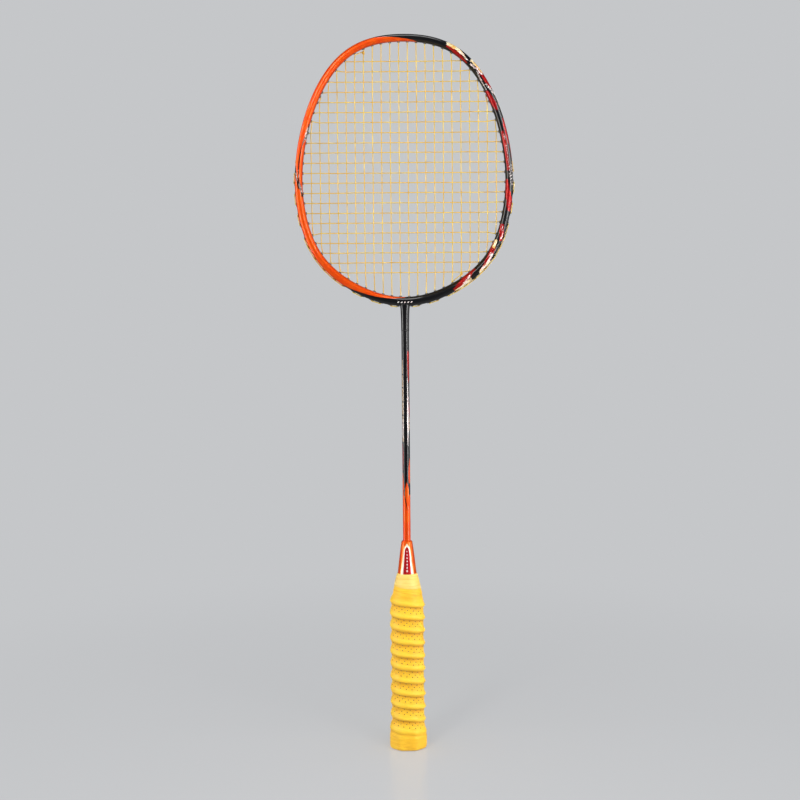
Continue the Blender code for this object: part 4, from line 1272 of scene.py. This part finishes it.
def octagon(theta, half_x, half_y, power):
    """Distance from the axis to a rounded eight-sided section."""
    cut = 0.6 * np.minimum(half_x, half_y)
    diagonal = (half_x + half_y - cut) / math.sqrt(2)
    total = 0.0
    for k in range(8):
        reach = (half_x, diagonal, half_y, diagonal)[k % 4]
        total = total + (np.maximum(np.cos(theta - k * math.pi / 4), 0) / reach) ** power
    return total ** (-1 / power)


def grip_radius(theta, z):
    """The grip under its ribs; below its foot the section stays the same size."""
    size_z = np.maximum(z, GRIP_FOOT)
    half_x = np.interp(size_z, GRIP_Z, GRIP_HALF_X)
    half_y = np.interp(size_z, GRIP_Z, GRIP_HALF_Y)
    return octagon(theta, half_x, half_y, np.interp(z, *GRIP_POWER))


def tape_radius(theta, z, power):
    half_x, half_y = np.interp(z, TAPE_Z, TAPE_HALF_X), np.interp(z, TAPE_Z, TAPE_HALF_Y)
    return octagon(theta, half_x, half_y, power)


def tape_low(theta):
    """The tape's lower edge slants: higher on the left."""
    return 156.9 - 1.35 * np.cos(theta)


def rib_height(theta, above, run):
    """Rise of the rib; above is mm over its crest, run is mm along the strip."""
    swell = 1.0 + 0.18 * fbm2(run / 15.0, 3.1, seed=41)
    slip = above + 0.35 * fbm2(run / 12.0, 8.0, seed=43) * bell(above, 3.0)
    # broader and rounder on the left
    puff = 1.0 + 0.28 * np.maximum(-np.cos(theta), 0)
    crest = np.where(
        slip > 0,
        np.exp(-np.abs(slip / (2.60 * puff)) ** 1.9),
        np.exp(-np.abs(slip / (2.05 * puff)) ** 2.3),
    )
    roll = (0.5 + 0.5 * np.cos(2 * np.pi * (slip + 0.4) / GRIP_PITCH)) ** 0.85
    left = 0.85 * np.maximum(-np.cos(theta), 0) ** 0.7
    return 1.50 * swell * (crest * (1 - left) + roll * left)


def perforations(theta, z, lift, across, run):
    """Distance in mm inside the nearest hole: three staggered rows along each valley."""
    spacing, radius = 6.1, 0.40
    hole = np.full_like(z, -5.0)
    for row, row_place in enumerate((8.75, 6.25, 3.75)):
        offset = row * spacing / 2 + 0.35 * noise2(run / 9.0, row * 9.0 + 0.5, seed=61)
        gap = (run - offset + spacing / 2) % spacing - spacing / 2
        drift = 0.22 * noise2(run / 5.0, row * 4.0, seed=63)
        hole = np.maximum(hole, radius - np.hypot(gap, across - row_place - drift))
    live = (z > 20.6 + 1.2 * np.sin(theta)) & (lift < 12 * GRIP_PITCH - 1.0)
    return np.where(live, hole, -5.0)


def make_overgrip(material):
    around = full_turn(340)
    theta, z = np.meshgrid(around, np.linspace(GRIP_FOOT, GRIP_TOP, 440), indexing="ij")
    cosine, sine = np.cos(theta), np.sin(theta)
    # place on the strip: across runs from one rib's crest to the next, run goes along it
    turned = theta / (2 * np.pi)
    lift = z - GRIP_CREST_Z + GRIP_PITCH * (turned - 0.75) + 12 * GRIP_PITCH
    across = lift % GRIP_PITCH
    run = (turned - np.floor(lift / GRIP_PITCH)) * GRIP_TURN
    above = np.where(across > GRIP_PITCH / 2, across - GRIP_PITCH, across)
    ribbed = smooth((z - 13.5) / 8.0) * smooth((153.5 - z) / 9.0)
    # the strip's edge laps the turn below, just under each rib
    seam = GRIP_PITCH - 2.95 + 0.25 * noise2(run / 9.0, 2.0, seed=77)
    seam = seam + 0.12 * noise2(run / 3.1, 4.0, seed=79)
    past_seam = across - seam
    lap = 0.34 * np.where(past_seam > 0, np.exp(-past_seam / 2.2), 0.0)
    lap = lap * smooth((past_seam + 0.2) / 0.4)
    seam_line = bell(past_seam, 0.50) * (0.75 + 0.25 * noise2(run / 6.0, 1.0, seed=83))
    seam_depth = np.interp(z, [0, 12, 24, 140, 152, 157], [0.16, 0.16, 0.50, 0.50, 0.18, 0.12])
    # soft undulation, wrinkles drawn out along the strip, grain, and folds at both ends
    off_foot = smooth((z - 4) / 10)
    wave = 0.15 * fbm2(cosine * 2.4 + 9, z / 4.5 + sine * 1.8, seed=6)
    wrinkles = fbm2(run / 22.0, across * 1.15, seed=12)
    pulled = 0.15 * wrinkles * off_foot * (0.45 + bell(across - 9.6, 2.4))
    pebble = 0.045 * noise2(run / 0.62, across / 0.62, seed=91)
    pebble = pebble * smooth((z - 8) / 8) * smooth((150 - z) / 6)
    crinkle = 0.24 * fbm2(cosine * 1.6 + 4, z / 1.25 + sine * 1.2, seed=23)
    crinkle = crinkle + 0.10 * fbm2(cosine * 5, z / 0.6 + sine * 2, seed=27, octaves=2)
    crinkle = crinkle * smooth((z - 141.0) / 7.0)
    folds = fbm2(cosine * 1.3 + 2, z / 1.3 - sine * 1.1, seed=33)
    near_butt = smooth((20.0 - z) / 7.0)
    hole = perforations(theta, z, lift, across, run)
    height = rib_height(theta, above, run) * ribbed + lap * ribbed
    height = height + wave + pulled + crinkle + 0.13 * folds * near_butt + pebble
    radius = grip_radius(theta, z) + height - seam_depth * seam_line * smooth((z - 2.0) / 3.0)
    radius = radius - 0.45 * smooth((hole + 0.35) / 0.55)
    radius = radius - 0.55 * smooth((z - tape_low(theta) - 0.2) / 0.9)
    # painted shade below each rib, strongest in front
    front = 0.70 + 0.30 * np.cos(theta + np.pi / 2 - 0.3)
    under = bell(across - (GRIP_PITCH - 3.3), 1.75) * ribbed * front
    under = under * (0.72 + 0.28 * fbm2(run / 10.0, 6.0, seed=87))
    # painted shade in the valleys of the wrinkles and folds, and a patch of painted shade on the
    # front near the top; the seam line is a dark joint with painted shade added, strongest in
    # front
    fine = np.clip(-wrinkles, 0, 1) * 0.35 * off_foot + np.clip(-folds, 0, 1) * 0.5 * near_butt
    spot = bell(z - 148.0, 2.6) * np.exp((np.cos(theta + np.pi / 2) - 1) * 9.0)
    seam_tone = seam_line * np.interp(z, [0, 12, 24, 150], [0.55, 0.55, 1.0, 0.8])
    crease = 0.70 * seam_tone * (0.45 + 0.55 * front) + 0.95 * under + fine + 0.45 * spot
    crease = np.clip(crease, 0, 1)
    outer = ring(theta, radius, radius, z)

    def offset_ring(offset, level, follow=0.0):
        """A ring off the plain grip, following some of the lowest outer ring's relief."""
        plain = grip_radius(around, level)
        relief = np.hypot(outer[:, 0, 0], outer[:, 0, 1]) - plain
        out = plain + offset + relief * follow
        return ring(around, out, out, level)

    # the bottom edge rolls under the butt: (offset, z, share of the relief)
    curl = [
        offset_ring(*row)
        for row in (
            (-2.75, 0.42), (-2.35, 0.30), (-1.80, 0.42, 0.6), (-1.20, 0.80, 0.6),
            (-0.70, 1.35, 0.6), (-0.32, 2.05, 0.6), (-0.10, 2.75, 0.6),
        )
    ]
    # the top edge and the inside close the sleeve
    wall_z = [*np.linspace(GRIP_TOP - 1.0, 26.0, 14), 21.0, 14.0, 4.0]
    inside = [offset_ring(-1.0, GRIP_TOP + 0.15)]
    inside += [offset_ring(-1.45, level) for level in wall_z]
    inside += [offset_ring(-1.75, 2.4), offset_ring(-2.6, 0.95)]
    grid = np.concatenate([np.stack(curl, 1), outer, np.stack(inside, 1)], 1)
    counts = len(curl), len(inside)
    attributes = {
        "height": pad_rings(height, *counts),
        "hole": pad_rings(hole, *counts, low=-5.0, high=-5.0),
        "crease": pad_rings(crease, *counts, high=0.2),
    }
    return add_rings("overgrip_wrap", grid, material, attributes)


def make_tape(material):
    """Stretch tape wound round the grip's narrow end."""
    around = full_turn(260)
    high = TAPE_HI[2] + 0.1
    theta, share = np.meshgrid(around, np.linspace(0, 1, 90), indexing="ij")
    low = tape_low(theta)
    z = low + (high - low) * share
    cosine, sine = np.cos(theta), np.sin(theta)
    # the loose end: a slanted step across the band at the back left
    past_end = (theta - (math.radians(128) + (z - low) * 0.012)) % (2 * np.pi)
    step = 0.24 * smooth(past_end / 0.03) * (1 - past_end / (2 * np.pi)) ** 0.6
    lines = fbm2(cosine * 0.9 + 3, z / 0.62 + sine * 1.4, seed=71)
    low_furrow = z - 159.2 - 0.8 * np.sin(theta + 1)
    high_furrow = z - 165.2 - 0.5 * np.sin(theta + 2.2)
    ridges = (
        0.14 * lines
        + 0.16 * fbm2(cosine * 2.0 + 7, z / 2.6 + sine, seed=15, octaves=2)
        - 0.12 * bell(low_furrow, 0.30)
        - 0.08 * bell(high_furrow, 0.25)
    )
    edge = 0.22 * (1 - smooth((z - low) / 0.5)) + 0.20 * (1 - smooth((high - z) / 0.5))
    height = step + ridges
    power = np.interp(z, [155, 162, 170], [6, 5, 4])
    radius = tape_radius(theta, z, power) + height - edge
    outer = ring(theta, radius, radius, z)
    foot = tape_low(around)
    inside = []
    for offset, level in (
        (-0.75, 170.15), (-1.0, 169.9), (-1.0, 166.0), (-0.8, 162.0),
        (-0.65, foot + 1.8), (-0.6, foot + 0.2),
    ):
        inner = tape_radius(around, level, 5.0) + offset
        inside.append(ring(around, inner, inner, level))
    grid = np.concatenate([outer, np.stack(inside, 1)], 1)
    # painted shade in the furrows and in the valleys of the fine lines, and a dark line along
    # the loose end's edge
    crease = (bell(low_furrow, 0.35) + 0.6 * bell(high_furrow, 0.3)) * 0.35
    crease = crease + np.clip(-lines, 0, 1) * 0.7
    crease = crease + np.where((past_end < 0.03) | (past_end > 6.25), 0.7, 0.0)
    attributes = {
        "height": pad_rings(height + 0.6, 0, len(inside)),
        "hole": np.full(grid.shape[:2], -5.0),
        "crease": pad_rings(np.clip(crease, 0, 1), 0, len(inside)),
    }
    return add_rings("finishing_band", grid, material, attributes)


# ======================================================================== butt
# (half x, half y, z) of the cup: the oval recess in its underside, out to the rim
CUP_RECESS = (
    (0.6, 0.55, 1.25), (4.0, 3.6, 1.25), (8.5, 7.6, 1.25), (8.62, 7.72, 1.15),
    (8.66, 7.76, 0.30), (8.80, 7.90, 0.10), (9.05, 8.15, 0.0),
)
# the eight-sided wall: out along the bottom, up the outside and down the inside
CUP_WALL = (
    (12.6, 11.2, 0.0), (14.55, 12.95, 0.0), (14.95, 13.35, 0.12), (15.25, 13.65, 0.45),
    (15.55, 13.95, 0.95), (15.80, 14.20, 1.6), (15.88, 14.28, 3.0), (15.9, 14.3, 12.0),
    (14.8, 13.2, 16.5), (13.75, 12.15, 20.6), (13.5, 11.9, 21.0), (12.4, 10.8, 21.0),
    (12.12, 10.52, 20.7), (12.1, 10.5, 3.9), (11.6, 10.0, 3.6),
)
CUP_FLOOR_Z = 3.6
# (share of the badge's radius, height of its face), from the middle out
BADGE_PROFILE = (
    (0.25, 0.62), (0.42, 0.60), (0.44, 0.52), (0.56, 0.50), (0.58, 0.58), (0.74, 0.55),
    (0.76, 0.47), (0.84, 0.45), (0.86, 0.53), (0.93, 0.49), (0.965, 0.40), (0.98, 0.26),
    (0.98, -0.25),
)
BADGE_Z = 0.78  # heights are measured down from here, since the face looks down


def make_cap(material):
    theta = full_turn(192)
    rings = [ring(theta, *row) for row in CUP_RECESS]
    for half_x, half_y, z in CUP_WALL:
        radius = octagon(theta, half_x, half_y, 22.0)
        rings.append(ring(theta, radius, radius, z))
    rings.append(ring(theta, 0.6, 0.55, CUP_FLOOR_Z))
    return add_capped("butt_cup", rings, CUP_RECESS[0][2], CUP_FLOOR_Z, material, angle=45)


def make_badge(material):
    theta = full_turn(120)
    rings = [
        ring(theta, 8.5 * share, 7.6 * share, BADGE_Z - height)
        for share, height in BADGE_PROFILE
    ]
    face_z, back_z = (BADGE_Z - BADGE_PROFILE[k][1] for k in (0, -1))
    return add_capped("butt_disc", rings, face_z, back_z, material, angle=30)


# ======================================================================= build
ORANGE_LAYER = ("orange", (0.87, 0.068, 0.003), (0.90, 0.105, 0.004), 0.12)
HOOP_LACQUER = lacquer(
    "frame_lacquer",
    [
        ORANGE_LAYER,
        ("red", (0.33, 0.0035, 0.006), (0.41, 0.012, 0.008), 0.55),
        ("gold", (0.83, 0.47, 0.10), (0.90, 0.80, 0.55), 0.65),
        ("white", (0.84, 0.80, 0.76), (0.86, 0.66, 0.62), 0.8),
    ],
    edge=0.22,
    feather=1.35,
    speckle=0.75,
)
SHAFT_LACQUER = lacquer(
    "shaft_lacquer",
    [
        ORANGE_LAYER,
        ("red", (0.25, 0.004, 0.006), (0.31, 0.012, 0.008), 0.55),
        ("gold", (0.41, 0.29, 0.19), (0.46, 0.36, 0.26), 0.65),
        ("white", (0.66, 0.63, 0.61), (0.66, 0.52, 0.50), 0.8),
    ],
    feather=0.28,
    along=8.0,
)
BLACK_LACQUER = lacquer("black_lacquer")
CONE_PLASTIC = lacquer(
    "cone_plastic",
    [
        ("orange", (0.83, 0.08, 0.003), (0.88, 0.14, 0.006), 0.0),
        ("gold", (0.90, 0.50, 0.12), (0.93, 0.66, 0.28), 0.02),
        ("white", (0.86, 0.82, 0.78), (0.88, 0.74, 0.62), 0.02),
        ("red", (0.46, 0.004, 0.008), (0.50, 0.012, 0.014), 0.02),
        ("mark", (0.85, 0.74, 0.74), (0.82, 0.60, 0.60), 0.06),
    ],
    edge=0.07,
)
NYLON = string_material()
GROMMET = grommet_material()
GRIP = grip_material("overgrip_pu", light=(1.0, 0.595, 0.026), deep=(0.60, 0.255, 0.002))
TAPE = grip_material(
    "finishing_tape", light=(0.94, 0.65, 0.155), deep=(0.70, 0.38, 0.04), pores=False
)
WOOD = wood_material()
CAP = plain_material("cap_plastic", dark=(0.012, 0.012, 0.013), pale=(0.022, 0.022, 0.024))
BADGE = plain_material(
    "badge_plastic", dark=(0.55, 0.55, 0.54), pale=(0.66, 0.66, 0.65), rough=(0.22, 0.34)
)
STEEL = plain_material(
    "fixings_steel", dark=(0.45, 0.45, 0.46), pale=(0.62, 0.62, 0.63),
    rough=(0.25, 0.45), metal=1.0,
)
ALLOY = plain_material(
    "joint_alloy", dark=(0.48, 0.48, 0.50), pale=(0.60, 0.60, 0.62),
    rough=(0.3, 0.5), metal=1.0,
)
FOAM = foam_material()


def show(ob, node):
    """Put an object in the place of a CAD piece."""
    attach(ob, "root")
    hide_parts(node)


show(make_hoop(HOOP_LACQUER), "frame_hoop")
for string in make_strings(NYLON):
    show(string, "string")
for grommets, piece in make_grommets(GROMMET):
    show(grommets, piece)
show(make_throat(BLACK_LACQUER), "throat")
show(make_shaft(SHAFT_LACQUER), "shaft")
show(make_cone(CONE_PLASTIC), "cone_cap")
show(make_overgrip(GRIP), "overgrip")
show(make_tape(TAPE), "finishing_tape")
show(make_cap(CAP), "butt_cap")
show(make_badge(BADGE), "butt_badge")
# CAD pieces kept as they are
for piece, material in (
    ("handle_core", WOOD), ("base_grip", FOAM), ("t_joint", ALLOY),
    ("cap_nail_left", STEEL), ("cap_nail_right", STEEL),
):
    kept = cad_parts[piece].data
    kept.materials.clear()
    kept.materials.append(material)

# ======================================================================= stage
PALE = (0.56, 0.57, 0.585)


def floor_material():
    mat = Shader("floor_pale")
    tone = mat.noise(mat.coords(), scale=3.0, detail=2.0)
    mat.set(
        Base_Color=mat.mix(tone, (0.82, 0.825, 0.835), (0.85, 0.855, 0.865)),
        Roughness=mat.remap(tone, to=(0.20, 0.24)),
        Specular_IOR_Level=0.35,
    )
    # far from the racket the floor melts into the backdrop
    glossy = mat.node("LightPath").outputs["Is Glossy Ray"]
    strength = mat.remap(glossy, span=(0.0, 1.0), to=(1.0, 0.15))
    glow = mat.node("Emission", {"Color": PALE, "Strength": strength})
    position = mat.node("NewGeometry").outputs["Position"]
    distance = mat.node("VectorMath", {0: position}, operation="LENGTH").outputs["Value"]
    far = mat.step(distance, span=(0.05, 0.85))
    share = mat.remap(far, span=(0.0, 1.0), to=(0.62, 1.0))
    blend = mat.node("MixShader", {0: share, 1: mat.bsdf.outputs[0], 2: glow.outputs[0]})
    put(mat.tree, mat.out.inputs["Surface"], blend.outputs[0])
    return mat.material


def make_floor():
    """A round floor 14 m in radius, its rings closer together near the racket."""
    sides = 96
    radii = np.concatenate([[0.02], np.geomspace(0.06, 14.0, 48)])[:, None]
    verts = ring(full_turn(sides), radii, radii, 0.0).reshape(-1, 3).tolist() + [[0, 0, 0]]
    i = np.arange(sides)
    quads = grid_faces(len(radii), sides, closed_rows=False)
    middle = fan(len(verts) - 1, i, (i + 1) % sides)
    mesh = bpy.data.meshes.new("floor")
    mesh.from_pydata(verts, [], quads.tolist() + middle.tolist())
    mesh.update()
    floor = bpy.data.objects.new("floor", mesh)
    bpy.context.scene.collection.objects.link(floor)
    mesh.materials.append(floor_material())
    return floor


def make_world():
    """The camera sees the pale backdrop; the racket is lit by a dim bluish one."""
    world = bpy.data.worlds.new("studio")
    bpy.context.scene.world = world
    world.use_nodes = True
    tree = world.node_tree
    tree.nodes.clear()

    def background(colour, strength):
        return add_node(tree, "Background", {"Color": colour, "Strength": strength}).outputs[0]

    def blend(factor, first, second):
        return add_node(tree, "MixShader", {0: factor, 1: first, 2: second}).outputs[0]

    path = add_node(tree, "LightPath")
    ambient = background((0.80, 0.84, 0.90), strength=0.20)
    mirrored = background((0.80, 0.86, 0.95), strength=0.035)
    backdrop = background(PALE, strength=1.0)
    lighting = blend(path.outputs["Is Glossy Ray"], ambient, mirrored)
    surface = blend(path.outputs["Is Camera Ray"], lighting, backdrop)
    add_node(tree, "OutputWorld", {"Surface": surface})


FLOOR = make_floor()
make_world()

# the tall panels and strips light the racket only, so they don't mirror in the floor
OFF_FLOOR = bpy.data.collections.new("off_the_floor")
OFF_FLOOR.objects.link(FLOOR)
OFF_FLOOR.collection_objects[0].light_linking.link_state = "EXCLUDE"


def floor_light():
    """A broad light straight above that reaches only the floor."""
    data = bpy.data.lights.new("floor_light", "AREA")
    data.size = 2.4
    data.energy = 26.0
    ob = bpy.data.objects.new("floor_light", data)
    ob.location = (0, -0.6, 2.2)
    ob.visible_camera = False
    only_floor = bpy.data.collections.new("floor_only")
    only_floor.objects.link(FLOOR)
    ob.light_linking.receiver_collection = only_floor
    bpy.context.scene.collection.objects.link(ob)


def lamp(name, place, target, size, power, colour=(1, 1, 1), off_floor=False, glossy=True):
    """A rectangular light; size is (width, height) in metres and power is in watts."""
    data = bpy.data.lights.new(name, "AREA")
    data.shape = "RECTANGLE"
    data.size, data.size_y = size
    data.energy = power
    data.color = colour
    ob = bpy.data.objects.new(name, data)
    ob.location = place
    aim = Vector(target) - Vector(place)
    ob.rotation_euler = aim.to_track_quat("-Z", "Y").to_euler()
    ob.visible_camera = False
    if off_floor:
        ob.light_linking.receiver_collection = OFF_FLOOR
    ob.visible_glossy = glossy
    bpy.context.scene.collection.objects.link(ob)


WARM = (1.0, 0.99, 0.97)
floor_light()
lamp("key_light", place=(-0.70, -1.55, 1.25), target=(0, 0, 0.30), size=(0.35, 0.6),
     power=8.5, colour=(1.0, 0.98, 0.95))
lamp("fill_light", place=(1.00, -1.50, 0.75), target=(0, 0, 0.25), size=(0.5, 0.8),
     power=4.0, colour=(0.97, 0.98, 1.0))
lamp("side_left", place=(-0.92, -0.22, 0.42), target=(0, 0, 0.36), size=(0.26, 1.25),
     power=8.5, colour=WARM, off_floor=True)
lamp("side_right", place=(0.95, -0.05, 0.42), target=(0, 0, 0.36), size=(0.22, 1.25),
     power=3.0, colour=WARM, off_floor=True)
lamp("strip_right", place=(0.70, -0.58, 0.42), target=(0, 0, 0.38), size=(0.10, 1.1),
     power=8.0, off_floor=True)
lamp("top_light", place=(0.05, -0.35, 1.55), target=(0, 0, 0.35), size=(0.5, 0.5), power=4.0)
lamp("side_back", place=(0.45, 1.50, 1.00), target=(0, 0, 0.28), size=(0.5, 0.8),
     power=8.0, colour=WARM, off_floor=True, glossy=False)


def make_camera():
    """In front, looking slightly down."""
    down, roll = 5.5, -0.49  # degrees
    data = bpy.data.cameras.new("camera")
    data.sensor_width = 36.0
    data.lens = 71.9
    camera = bpy.data.objects.new("camera", data)
    camera.location = (-0.0054, -1.5, 0.48)
    tilt = Matrix.Rotation(math.radians(90 - down), 4, "X")
    camera.rotation_euler = (tilt @ Matrix.Rotation(math.radians(roll), 4, "Z")).to_euler()
    bpy.context.scene.collection.objects.link(camera)
    bpy.context.scene.camera = camera


make_camera()
bpy.context.scene.view_settings.view_transform = "Standard"
